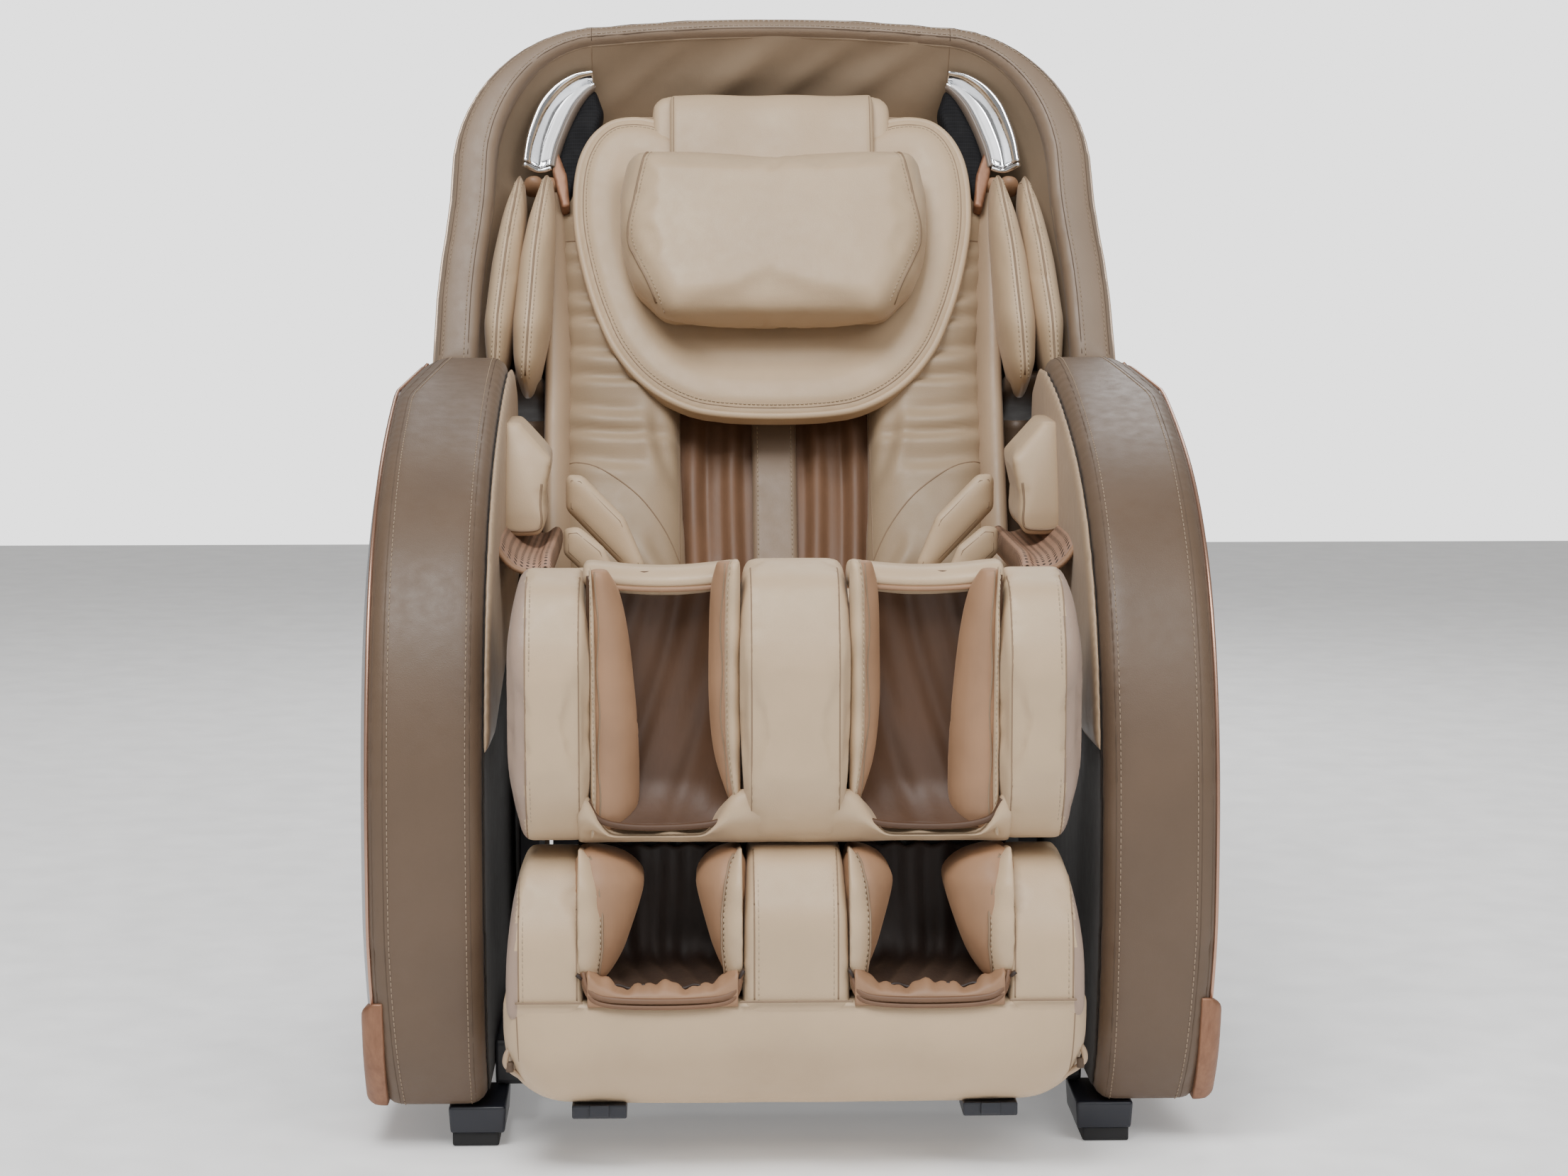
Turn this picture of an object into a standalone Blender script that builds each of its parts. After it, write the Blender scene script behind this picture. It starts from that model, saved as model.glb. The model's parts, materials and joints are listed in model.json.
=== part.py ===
"""Massage chair: base, arms, tilting seat, reclining back, leg rest, sliding footrest.

Every body is modelled in a "front frame", an empty on its joint's axis:
local X runs across the chair, local Y runs up and local Z points at the sitter's front.
"""
import math

import bpy
from mathutils import Matrix, Vector

# ---- driving dimensions, metres ----
GAP = 0.0003                 # left between pieces that touch
CENTRE = 0.0478              # how far forward the whole chair moves, to sit centred
HINGE = (-0.10, 0.45)        # seat and back hinge: forward, up
BACK_TILT = 27.0             # degrees from upright
LEG_HINGE = (0.41, 0.55)     # calf rest hinge: forward, up
FRAME_X = 0.2850             # inner face of a base rail
ARM_IN = 0.325               # inner face of an arm
ARM_OUT = 0.437              # outer face of the leather arm body
SHELL_OUT = 0.4575           # outer face of the plastic arm shell
ARM_BOTTOM = 0.045           # above the floor
ARM_TOP = 0.82
ARM_REAR_R = 0.345           # arm's rear end, an arc about the hinge
SEAT_X = 0.2247              # half width of the seat
HOOD_X = 0.420               # half width of the hood
HOOD_TOP = 0.845             # along the back, from the hinge
HOOD_FOOT = 0.352
HOOD_WALL = 0.048            # width of the hood rim
WAIST_X = 0.282              # half width of the back's lower shell
CHANNEL_X = 0.110            # half width of the back's fabric channel
CALF_X = 0.293               # outer face of a calf block
BLOCK_X = 0.228              # inner face of the outer leg blocks
CORE_X = 0.055               # half width of the centre leg block
FOOT_X = 0.303               # outer face of a foot block
SHAFT_R = 0.012              # hinge shafts
BORE_R = 0.0126              # holes the hinge shafts turn in
WHEEL_R = 0.035

PARTS = None
CUTTERS = None
MATS = {}


def clear_scene():
    for obj in list(bpy.data.objects):
        bpy.data.objects.remove(obj, do_unlink=True)


def new_collection(name):
    coll = bpy.data.collections.new(name)
    bpy.context.scene.collection.children.link(coll)
    return coll


def material(name, colour, rough, metal=0.0):
    mat = bpy.data.materials.new(name)
    mat.use_nodes = True
    shader = mat.node_tree.nodes["Principled BSDF"]
    shader.inputs["Base Color"].default_value = (*colour, 1.0)
    shader.inputs["Roughness"].default_value = rough
    shader.inputs["Metallic"].default_value = metal
    MATS[name] = mat


def make_materials():
    material("leather_taupe", (0.22, 0.165, 0.125), 0.5)
    material("leather_beige", (0.46, 0.375, 0.275), 0.5)
    material("fabric_brown", (0.30, 0.195, 0.13), 0.7)
    material("plastic_silver", (0.55, 0.56, 0.58), 0.35)
    material("plastic_black", (0.02, 0.022, 0.03), 0.45)
    material("rubber_black", (0.02, 0.02, 0.02), 0.8)
    material("steel_painted", (0.06, 0.06, 0.065), 0.45)
    material("steel_bright", (0.7, 0.7, 0.7), 0.25, 1.0)
    material("chrome", (0.85, 0.85, 0.86), 0.08, 1.0)


def front_frame(name, forward, up, tilt=0.0, parent=None):
    """An empty at a joint; tilt leans its local Y back from upright."""
    empty = bpy.data.objects.new(name, None)
    PARTS.objects.link(empty)
    if parent is None:
        empty.location = (0.0, -(forward + CENTRE), up)
        empty.rotation_euler = (math.radians(90.0 - tilt), 0.0, 0.0)
    else:
        empty.parent = parent
        empty.location = (0.0, up, forward)
        empty.rotation_euler = (math.radians(-tilt), 0.0, 0.0)
    return empty


# ---- outlines ----
def signed_area(points):
    total = 0.0
    for (x0, y0), (x1, y1) in zip(points, points[1:] + points[:1]):
        total += x0 * y1 - x1 * y0
    return total / 2.0


def arc(cx, cy, radius, start, end, steps):
    points = []
    for i in range(steps + 1):
        a = math.radians(start + (end - start) * i / steps)
        points.append((cx + radius * math.cos(a), cy + radius * math.sin(a)))
    return points


def rounded(corners, radius, steps=3):
    """Replace each corner by an arc; radius is one number, or one per corner."""
    count = len(corners)
    radii = radius if isinstance(radius, (list, tuple)) else [radius] * count
    points = []
    for i, corner in enumerate(corners):
        here = Vector(corner)
        before = Vector(corners[i - 1]) - here
        after = Vector(corners[(i + 1) % count]) - here
        half = before.angle(after) / 2.0
        cut = min(radii[i] / math.tan(half), before.length * 0.45, after.length * 0.45)
        if cut < 1e-5:
            points.append(corner)
            continue
        before.normalize()
        after.normalize()
        centre = here + (before + after).normalized() * cut / math.cos(half)
        start = here + before * cut - centre
        turn = start.angle_signed(here + after * cut - centre)
        for k in range(steps + 1):
            spoke = start.copy()
            spoke.rotate(Matrix.Rotation(-turn * k / steps, 2))
            points.append(tuple(centre + spoke))
    return points


def rect(x0, x1, y0, y1, radius=0.0, steps=3):
    return rounded([(x0, y0), (x1, y0), (x1, y1), (x0, y1)], radius, steps)


def mirror_x(points, side):
    return [(side * x, y) for x, y in points]


# ---- solids ----
def add_spline(curve, points, hole=False):
    if (signed_area(points) < 0.0) != hole:
        points = points[::-1]
    spline = curve.splines.new("POLY")
    spline.points.add(len(points) - 1)
    for point, (x, y) in zip(spline.points, points):
        point.co = (x, y, 0.0, 1.0)
    spline.use_cyclic_u = True


def slab(name, facing, outline, lo, hi, mat, parent, edge=0.0, holes=(), edge_steps=1):
    """An outline made solid from lo to hi. facing names the way its thickness runs:
    'front' has (across, up) outlines, 'side' (forward, up), 'top' (across, forward)."""
    curve = bpy.data.curves.new(name, "CURVE")
    curve.dimensions = "2D"
    curve.fill_mode = "BOTH"
    curve.bevel_depth = edge
    curve.offset = -edge
    curve.bevel_resolution = edge_steps
    curve.extrude = (hi - lo) / 2.0 - edge
    add_spline(curve, outline)
    for hole in holes:
        add_spline(curve, hole, hole=True)
    obj = bpy.data.objects.new(name, curve)
    middle = (lo + hi) / 2.0
    if facing == "front":
        obj.location = (0.0, 0.0, middle)
    elif facing == "side":
        obj.location = (middle, 0.0, 0.0)
        obj.rotation_euler = (0.0, math.radians(-90.0), 0.0)
    else:
        obj.location = (0.0, middle, 0.0)
        obj.rotation_euler = (math.radians(90.0), 0.0, 0.0)
    obj.parent = parent
    curve.materials.append(MATS[mat])
    PARTS.objects.link(obj)
    return obj


def side_slab(name, side, outline, x0, x1, mat, parent, **more):
    lo, hi = (x0, x1) if side > 0 else (-x1, -x0)
    return slab(name, "side", outline, lo, hi, mat, parent, **more)


def box(name, x, y, z, mat, parent, bevel=0.0):
    """A box from pairs of limits across, up and forward."""
    bpy.ops.mesh.primitive_cube_add(size=1.0)
    obj = bpy.context.object
    obj.name = name
    obj.data.name = name
    for vert in obj.data.vertices:
        vert.co.x *= x[1] - x[0]
        vert.co.y *= y[1] - y[0]
        vert.co.z *= z[1] - z[0]
    place(obj, mat, parent)
    obj.location = ((x[0] + x[1]) / 2.0, (y[0] + y[1]) / 2.0, (z[0] + z[1]) / 2.0)
    if bevel > 0.0:
        mod = obj.modifiers.new("Edge", "BEVEL")
        mod.width = bevel
        mod.segments = 2
    return obj


def place(obj, mat, parent, collection=None):
    for coll in list(obj.users_collection):
        coll.objects.unlink(obj)
    (collection or PARTS).objects.link(obj)
    obj.parent = parent
    obj.data.materials.append(MATS[mat])


def cylinder(name, radius, x0, x1, up, forward, mat, parent, sides=24):
    bpy.ops.mesh.primitive_cylinder_add(vertices=sides, radius=radius, depth=x1 - x0)
    obj = bpy.context.object
    obj.name = name
    place(obj, mat, parent)
    obj.rotation_euler = (0.0, math.radians(90.0), 0.0)
    obj.location = ((x0 + x1) / 2.0, up, forward)
    return obj


def turned(name, profile, mat, parent, location, steps=24):
    """A profile of (along, radius) points turned about local X."""
    mesh = bpy.data.meshes.new(name)
    verts = [(along, radius, 0.0) for along, radius in profile]
    edges = [(i, i + 1) for i in range(len(verts) - 1)]
    mesh.from_pydata(verts, edges, [])
    obj = bpy.data.objects.new(name, mesh)
    PARTS.objects.link(obj)
    obj.parent = parent
    obj.location = location
    mesh.materials.append(MATS[mat])
    mod = obj.modifiers.new("Turn", "SCREW")
    mod.axis = "X"
    mod.steps = steps
    mod.render_steps = steps
    mod.use_merge_vertices = True
    mod.merge_threshold = 0.0001
    mod.use_normal_calculate = True
    return obj


def join_with(obj, others, operation="UNION"):
    for other in others:
        for coll in list(other.users_collection):
            coll.objects.unlink(other)
        CUTTERS.objects.link(other)
        other.hide_render = True
        other.display_type = "WIRE"
        mod = obj.modifiers.new(operation.title(), "BOOLEAN")
        mod.operation = operation
        mod.solver = "EXACT"
        mod.object = other


def solid_mesh(obj):
    """Turn a curve object into a mesh object of the same name, so that Booleans can use it."""
    mesh = bpy.data.meshes.new_from_object(obj)
    name = obj.name
    solid = bpy.data.objects.new(name + "_mesh", mesh)
    PARTS.objects.link(solid)
    solid.parent = obj.parent
    solid.location = obj.location
    solid.rotation_euler = obj.rotation_euler
    bpy.data.objects.remove(obj, do_unlink=True)
    solid.name = name
    weld = solid.modifiers.new("Weld", "WELD")
    weld.merge_threshold = 0.00005
    return solid


# ---- base ----
def build_base(base):
    for side, tag in ((1, "L"), (-1, "R")):
        outer = FRAME_X + 0.037
        side_slab("base_rail_" + tag, side, rect(-0.45, 0.345, 0.045, 0.095, 0.006),
                  FRAME_X, outer, "steel_painted", base, edge=0.003)
        foot = rounded([(0.33, 0.0), (0.42, 0.0), (0.435, 0.0447), (0.325, 0.0447)], 0.006)
        side_slab("front_foot_" + tag, side, foot, 0.306, 0.368, "plastic_black", base, edge=0.004)
        post = rounded([(-0.20, 0.095 + GAP), (0.0, 0.095 + GAP), (-0.062, 0.49), (-0.138, 0.49)],
                       [0.0, 0.0, 0.03, 0.03])
        side_slab("hinge_post_" + tag, side, post, 0.288, 0.312, "steel_painted", base, edge=0.002)
    inside = FRAME_X - GAP
    box("base_cross_front", (-inside, inside), (0.05, 0.09), (0.22, 0.26), "steel_painted", base, 0.003)
    box("base_cross_rear", (-inside, inside), (0.05, 0.09), (-0.36, -0.32), "steel_painted", base, 0.003)
    cover = box("base_cover", (-inside, inside), (0.09 + GAP, 0.205), (-0.36, -0.35), "plastic_black", base)
    inlet = box("power_inlet", (0.16, 0.22), (0.11, 0.155), (-0.368, -0.355), "plastic_black", base)
    join_with(cover, [inlet])
    reach = 0.288 - GAP
    cylinder("pivot_shaft", SHAFT_R, -reach, reach, HINGE[1], HINGE[0], "steel_bright", base)


def build_wheels():
    for side, tag in ((1, "L"), (-1, "R")):
        hub = front_frame("wheel_axis_" + tag, -0.405, WHEEL_R)
        inner = 0.245
        outer = 0.272
        stub = FRAME_X - GAP
        profile = [(inner, 0.0), (inner, 0.028), (inner + 0.005, WHEEL_R), (outer - 0.005, WHEEL_R),
                   (outer, 0.028), (outer, 0.008), (stub, 0.008), (stub, 0.0)]
        profile = [(side * along, radius) for along, radius in profile]
        turned("rear_wheel_" + tag, profile, "rubber_black", hub, (0.0, 0.0, 0.0))


# ---- arms ----
def arm_outline(inset=0.0):
    front = [(0.43, ARM_BOTTOM), (0.475, 0.12), (0.498, 0.27), (0.492, 0.42), (0.455, 0.545),
             (0.385, 0.645), (0.27, 0.725), (0.10, 0.785), (-0.06, ARM_TOP), (-0.142, ARM_TOP)]
    rear = arc(HINGE[0], HINGE[1], ARM_REAR_R, 98.0, 205.0, 12)
    points = front + rear + [(-0.40, 0.10), (-0.37, ARM_BOTTOM)]
    if inset == 0.0:
        return points
    centre = (0.05, 0.42)
    shrunk = []
    for forward, up in points:
        reach = math.hypot(forward - centre[0], up - centre[1])
        scale = (reach - inset) / reach
        shrunk.append((centre[0] + (forward - centre[0]) * scale, centre[1] + (up - centre[1]) * scale))
    return shrunk


def build_arms(base):
    for side, tag in ((1, "L"), (-1, "R")):
        side_slab("arm_body_" + tag, side, arm_outline(), ARM_IN, ARM_OUT, "leather_taupe", base, edge=0.006)
        side_slab("arm_shell_" + tag, side, arm_outline(0.012), ARM_OUT + GAP, SHELL_OUT,
                  "plastic_silver", base, edge=0.006)
        ledge = rounded([(-0.08, 0.58), (0.26, 0.58), (0.26, 0.632), (-0.08, 0.632)],
                        [0.01, 0.03, 0.015, 0.01])
        side_slab("forearm_ledge_" + tag, side, ledge, 0.256, ARM_IN - GAP, "fabric_brown", base, edge=0.006)
        bag = rounded([(-0.06, 0.642), (0.10, 0.637), (0.12, 0.705), (0.0, 0.75), (-0.06, 0.75)], 0.02)
        side_slab("hand_airbag_" + tag, side, bag, 0.272, ARM_IN - GAP, "leather_beige", base, edge=0.006)


# ---- seat ----
def build_seat(seat):
    leg_f = LEG_HINGE[0] - HINGE[0]
    leg_u = LEG_HINGE[1] - HINGE[1]
    for side, tag in ((1, "L"), (-1, "R")):
        bar = arc(0.0, 0.0, 0.026, 95.0, 262.0, 8)
        bar += [(0.10, -0.052), (leg_f - 0.125, -0.04), (leg_f - 0.075, leg_u - 0.055),
                (leg_f - 0.045, leg_u - 0.020)]
        bar += arc(leg_f, leg_u, 0.020, -90.0, 95.0, 8)
        bar += [(leg_f - 0.085, leg_u + 0.010), (leg_f - 0.14, -0.005), (0.06, -0.012)]
        holes = [arc(0.0, 0.0, BORE_R, 0.0, 345.0, 23), arc(leg_f, leg_u, BORE_R, 0.0, 345.0, 23)]
        side_slab("seat_bar_" + tag, side, bar, SEAT_X + 0.0013, 0.2445, "steel_painted", seat, holes=holes)
        bag = rounded([(0.246, 0.245), (0.222, 0.245), (0.138, 0.172), (0.124, 0.138), (0.168, 0.122),
                       (0.246, 0.188)], 0.012)
        slab("hip_airbag_" + tag, "front", mirror_x(bag, side), 0.07, 0.13, "leather_beige", seat,
             edge=0.006)
    box("seat_pan", (-SEAT_X - 0.001, SEAT_X + 0.001), (-0.048, -0.032), (0.05, leg_f - 0.12),
        "steel_painted", seat, 0.002)
    pad = rounded([(0.045, -0.032 + GAP), (leg_f - 0.115, -0.032 + GAP), (leg_f - 0.106, 0.075),
                   (leg_f - 0.112, 0.165), (0.25, 0.115), (0.13, 0.062), (0.045, 0.045)],
                  [0.01, 0.015, 0.02, 0.035, 0.05, 0.04, 0.02])
    slab("seat_pad", "side", pad, -SEAT_X, SEAT_X, "leather_beige", seat, edge=0.006)
    reach = CALF_X - 0.006
    cylinder("leg_shaft", SHAFT_R, -reach, reach, leg_u, leg_f, "steel_bright", seat)


# ---- back ----
def hood_outline(inset=0.0, foot=HOOD_FOOT, top_inset=None):
    """Half the hood's edge, from its foot up to its top centre, moved in by inset."""
    top = inset if top_inset is None else top_inset
    wide = HOOD_X - inset
    points = [(wide, foot), (wide - 0.003, 0.45), (wide - 0.012, 0.54)]
    turn = (0.215, 0.625)
    for angle in range(10, 91, 10):
        a = math.radians(angle)
        reach_x = wide - 0.018 - turn[0]
        reach_y = HOOD_TOP - 0.012 - top - turn[1]
        points.append((turn[0] + reach_x * math.cos(a), turn[1] + reach_y * math.sin(a)))
    points.append((0.0, HOOD_TOP - top))
    return points


def both_sides(half):
    """Close a right-hand edge, bottom to top, with its mirror image."""
    mirrored = [(-x, y) for x, y in half[::-1] if x > 1e-6]
    return half + mirrored


def hood_ring(outer, inner, foot, inner_top):
    out_edge = both_sides(hood_outline(outer, foot))
    in_edge = both_sides(hood_outline(inner, foot, inner_top))
    return out_edge + in_edge[::-1]


def build_back_frame(back):
    for side, tag in ((1, "L"), (-1, "R")):
        rail = [(-0.145, 0.13), (-0.145, 0.775), (-0.115, 0.775), (-0.115, 0.15), (-0.02, 0.045)]
        rail += arc(0.0, 0.0, 0.026, 60.0, -150.0, 10)
        hole = arc(0.0, 0.0, BORE_R, 0.0, 345.0, 23)
        side_slab("back_rail_" + tag, side, rail, 0.186, 0.206, "steel_painted", back, holes=[hole])
    inside = 0.186 - GAP
    box("back_cross_top", (-inside, inside), (0.74, 0.77), (-0.145, -0.118), "steel_painted", back, 0.002)


def build_rear_shell(back):
    """The hood's cup, open in front and, for the back frame, in the middle of its foot."""
    rear = -0.215
    wall = 0.014
    shell = solid_mesh(slab("rear_shell", "front", both_sides(hood_outline()), rear, 0.045,
                            "plastic_silver", back, edge=0.006))
    foot = [(WAIST_X - wall, HOOD_FOOT - 0.05), (WAIST_X - wall, HOOD_FOOT + 0.008)]
    cavity = both_sides(foot + hood_outline(wall, HOOD_FOOT + wall))
    cutter = solid_mesh(slab("rear_shell_cavity", "front", cavity, rear + wall, 0.080,
                             "plastic_silver", back))
    join_with(shell, [cutter], "DIFFERENCE")
    inner = WAIST_X - 0.012
    channel = [(-WAIST_X, 0.03), (-WAIST_X, rear + 0.03), (-WAIST_X + 0.03, rear), (WAIST_X - 0.03, rear),
               (WAIST_X, rear + 0.03), (WAIST_X, 0.03), (inner, 0.03), (inner, rear + 0.036),
               (inner - 0.024, rear + 0.012), (-inner + 0.024, rear + 0.012), (-inner, rear + 0.036),
               (-inner, 0.03)]
    slab("lower_shell", "top", channel, 0.10, HOOD_FOOT - 0.0045, "plastic_silver", back)


def build_hood(back):
    front = 0.045
    slab("hood_rim", "front", hood_ring(0.0, HOOD_WALL, HOOD_FOOT, 0.026), front + GAP, 0.100,
         "leather_taupe", back, edge=0.006)
    liner = hood_ring(0.014 + GAP, HOOD_WALL - 0.012, HOOD_FOOT + 0.016, 0.026)
    slab("hood_liner", "front", liner, -0.06, front, "leather_beige", back)


def build_head_sides(back):
    for side, tag in ((1, "L"), (-1, "R")):
        trim = arc(0.20, 0.655, 0.125, 0.0, 75.0, 8)
        trim += [(0.229, 0.768), (0.256, 0.738), (0.273, 0.70), (0.284, 0.655)]
        slab("window_trim_" + tag, "front", mirror_x(trim, side), 0.031, 0.0447, "chrome", back, edge=0.002)
        panel = [(0.2575, 0.60), (0.270, 0.606), (0.2805, 0.655), (0.2695, 0.70), (0.2525, 0.736),
                 (0.2265, 0.764), (0.220, 0.752), (0.2575, 0.705)]
        slab("speaker_" + tag, "front", mirror_x(panel, side), 0.031, 0.0440, "plastic_black", back)
        leaf = rounded([(0.295, 0.358), (0.352, 0.362), (0.364, 0.47), (0.345, 0.645), (0.295, 0.645),
                        (0.275, 0.53)], 0.02)
        slab("shoulder_airbag_" + tag, "front", mirror_x(leaf, side), 0.0455, 0.115, "leather_beige", back,
             edge=0.006)


def build_back_pads(back):
    for side, tag in ((1, "L"), (-1, "R")):
        pad = rounded([(CHANNEL_X + 0.002, 0.075), (0.262, 0.075), (0.262, 0.40), (0.29, 0.62),
                       (0.20, 0.745), (CHANNEL_X + 0.002, 0.76)], [0.02, 0.03, 0.04, 0.06, 0.06, 0.02])
        slab("back_bolster_" + tag, "front", mirror_x(pad, side), -0.045, 0.030, "leather_beige", back,
             edge=0.006)
    box("back_channel", (-CHANNEL_X, CHANNEL_X), (0.075, 0.74), (-0.045, -0.028), "fabric_brown", back,
        0.004)
    half = [(0.0, 0.303), (0.074, 0.307), (0.125, 0.322), (0.168, 0.354), (0.203, 0.407), (0.230, 0.472),
            (0.246, 0.537), (0.252, 0.603), (0.246, 0.67), (0.222, 0.706), (0.18, 0.7245), (0.136, 0.722),
            (0.128, 0.745), (0.0, 0.745)]
    head = half + [(-x, up) for x, up in half[-2:0:-1]]
    slab("head_pad", "front", head, 0.030 + GAP, 0.0557, "leather_beige", back, edge=0.006)


def build_pillow(back):
    pivot = front_frame("pillow_axis", 0.066, 0.742, parent=back)
    body = rounded([(-0.190, -0.25), (-0.135, -0.355), (0.135, -0.355), (0.190, -0.25), (0.187, -0.118),
                    (-0.187, -0.118)], 0.03)
    pillow = solid_mesh(slab("pillow", "front", body, -0.010, 0.082, "leather_beige", pivot,
                             edge=0.006))
    flap = solid_mesh(slab("pillow_flap", "front", rect(-0.13, 0.13, -0.18, 0.004, 0.01), -0.009, 0.008,
                           "leather_beige", pivot, edge=0.004))
    join_with(pillow, [flap])


def build_carriage(back):
    rest_up = 0.24
    carriage = front_frame("carriage_axis", -0.13, rest_up, parent=back)
    body = box("massage_carriage", (-0.182, 0.182), (-0.035, 0.035), (-0.014, 0.014), "steel_painted",
               carriage)
    ears = []
    for side in (1, -1):
        near, far = sorted((side * 0.096, side * 0.106))
        ears.append(box("carriage_ear_" + str(side), (near, far), (-0.018, 0.018), (0.010, 0.062),
                        "steel_painted", carriage))
    join_with(body, ears)
    knead = front_frame("knead_axis", 0.050, 0.0, parent=carriage)
    half = [(0.0, 0.007), (0.035, 0.007), (0.037, 0.022), (0.045, 0.028), (0.057, 0.028),
            (0.065, 0.022), (0.067, 0.007), (0.096 - GAP, 0.007), (0.096 - GAP, 0.0)]
    profile = [(-along, radius) for along, radius in half[:0:-1]] + half[1:]
    turned("kneading_rollers", profile, "rubber_black", knead, (0.0, 0.0, 0.0))


# ---- leg rest ----
def calf_profile(top, front, bottom, nose):
    rear = 0.023
    return rounded([(rear, bottom), (front - 0.03, bottom), (front, bottom + nose), (front, 0.0),
                    (front - 0.035, top - 0.02), (rear + 0.01, top), (rear, top - 0.03)],
                   [0.01, 0.04, 0.05, 0.06, 0.05, 0.03, 0.01], 3)


def build_calf(calf):
    for side, tag in ((1, "L"), (-1, "R")):
        side_slab("calf_block_" + tag, side, calf_profile(0.085, 0.145, -0.205, 0.05), BLOCK_X, CALF_X,
                  "leather_beige", calf, edge=0.006)
        near, far, wall = CORE_X + GAP, BLOCK_X - GAP, 0.026
        trough = [(near, 0.023), (far, 0.023), (far, 0.115), (far - 0.014, 0.118),
                  (far - wall, 0.05), (near + wall, 0.05), (near + 0.014, 0.118), (near, 0.115)]
        slab("calf_well_" + tag, "top", mirror_x(trough, side), -0.185, 0.065, "fabric_brown", calf,
             edge=0.003)
    slab("calf_centre", "side", calf_profile(0.095, 0.150, -0.205, 0.06), -CORE_X, CORE_X,
         "leather_beige", calf, edge=0.006)
    frame = box("calf_frame", (-0.27, 0.27), (-0.20, -0.036), (-0.035, -0.018), "steel_painted", calf)
    extras = []
    for side in (1, -1):
        lug = arc(0.0, 0.0, 0.018, 0.0, 180.0, 8) + [(-0.020, -0.09), (0.018, -0.09)]
        bore = arc(0.0, 0.0, BORE_R, 0.0, 345.0, 23)
        extras.append(solid_mesh(side_slab("calf_lug_" + str(side), side, lug, 0.196, 0.222,
                                           "steel_painted", calf, holes=[bore])))
        sleeve = rect(side * 0.12 - 0.018, side * 0.12 + 0.018, -0.020, 0.018)
        ring = [(side * 0.12 + x, f) for x, f in arc(0.0, 0.0, 0.0106, 0.0, 345.0, 23)]
        extras.append(solid_mesh(slab("calf_sleeve_" + str(side), "top", sleeve, -0.195, -0.155,
                                      "steel_painted", calf, holes=[ring])))
    join_with(frame, extras)


def build_foot(foot):
    """The footrest's frame sits on the leg hinge too, so that it lines up with the calf rest."""
    top, bottom, front = -0.212, -0.475, 0.165
    for side, tag in ((1, "L"), (-1, "R")):
        block = rounded([(0.0, bottom + 0.01), (front - 0.03, bottom), (front, bottom + 0.04),
                         (front, top - 0.07), (front - 0.05, top - 0.012), (0.03, top), (0.0, top - 0.03)],
                        [0.01, 0.04, 0.03, 0.06, 0.05, 0.03, 0.01], 3)
        side_slab("foot_block_" + tag, side, block, BLOCK_X, FOOT_X, "leather_beige", foot,
                  edge=0.006)
        pad = (0.175, 0.232) if side > 0 else (-0.232, -0.175)
        box("glide_pad_" + tag, pad, (bottom - 0.015, bottom - GAP), (0.08, 0.13), "plastic_black", foot,
            0.002)
    core = rounded([(0.0, -0.3627), (front, -0.3627), (front, top - 0.06), (front - 0.05, top - 0.003),
                    (0.03, top + 0.006), (0.0, top - 0.03)], [0.008, 0.008, 0.05, 0.05, 0.03, 0.01], 3)
    slab("foot_centre", "side", core, -CORE_X, CORE_X, "leather_beige", foot, edge=0.004)
    apron = rounded([(0.0, bottom), (front - 0.03, bottom), (front + 0.003, bottom + 0.045),
                     (front, -0.363), (0.0, -0.363)], [0.01, 0.05, 0.05, 0.008, 0.008], 4)
    slab("foot_apron", "side", apron, -BLOCK_X + GAP, BLOCK_X - GAP, "leather_beige", foot, edge=0.003)
    frame = box("foot_frame", (-0.21, 0.21), (-0.46, -0.215), (-0.035, -GAP), "steel_painted", foot)
    rods = []
    for side in (1, -1):
        name = "slide_rod_" + str(side)
        bpy.ops.mesh.primitive_cylinder_add(vertices=20, radius=0.010, depth=0.25)
        rod = bpy.context.object
        rod.name = name
        place(rod, "steel_bright", foot)
        rod.rotation_euler = (math.radians(90.0), 0.0, 0.0)
        rod.location = (side * 0.12, -0.175, 0.0)
        rods.append(rod)
    join_with(frame, rods)


def main():
    global PARTS, CUTTERS
    clear_scene()
    PARTS = new_collection("massage_chair")
    CUTTERS = new_collection("cutters")
    make_materials()
    base = front_frame("base_axis", 0.0, 0.0)
    build_base(base)
    build_wheels()
    build_arms(base)
    seat = front_frame("seat_axis", *HINGE)
    build_seat(seat)
    back = front_frame("back_axis", *HINGE, tilt=BACK_TILT)
    build_back_frame(back)
    build_rear_shell(back)
    build_hood(back)
    build_head_sides(back)
    build_back_pads(back)
    build_pillow(back)
    build_carriage(back)
    calf = front_frame("calf_axis", *LEG_HINGE)
    build_calf(calf)
    build_foot(front_frame("foot_axis", *LEG_HINGE))


main()
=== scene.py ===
"""Looks of the massage chair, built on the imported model.

Each piece is modelled in the "front frame" of a body: X across the chair, U up along the body
and F towards the sitter's front. The origin is on the body's joint, or on the floor for BASE.
"""
import json
import math

import bmesh
import bpy
import numpy as np
from mathutils import Matrix, Vector
from mathutils.bvhtree import BVHTree


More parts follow.
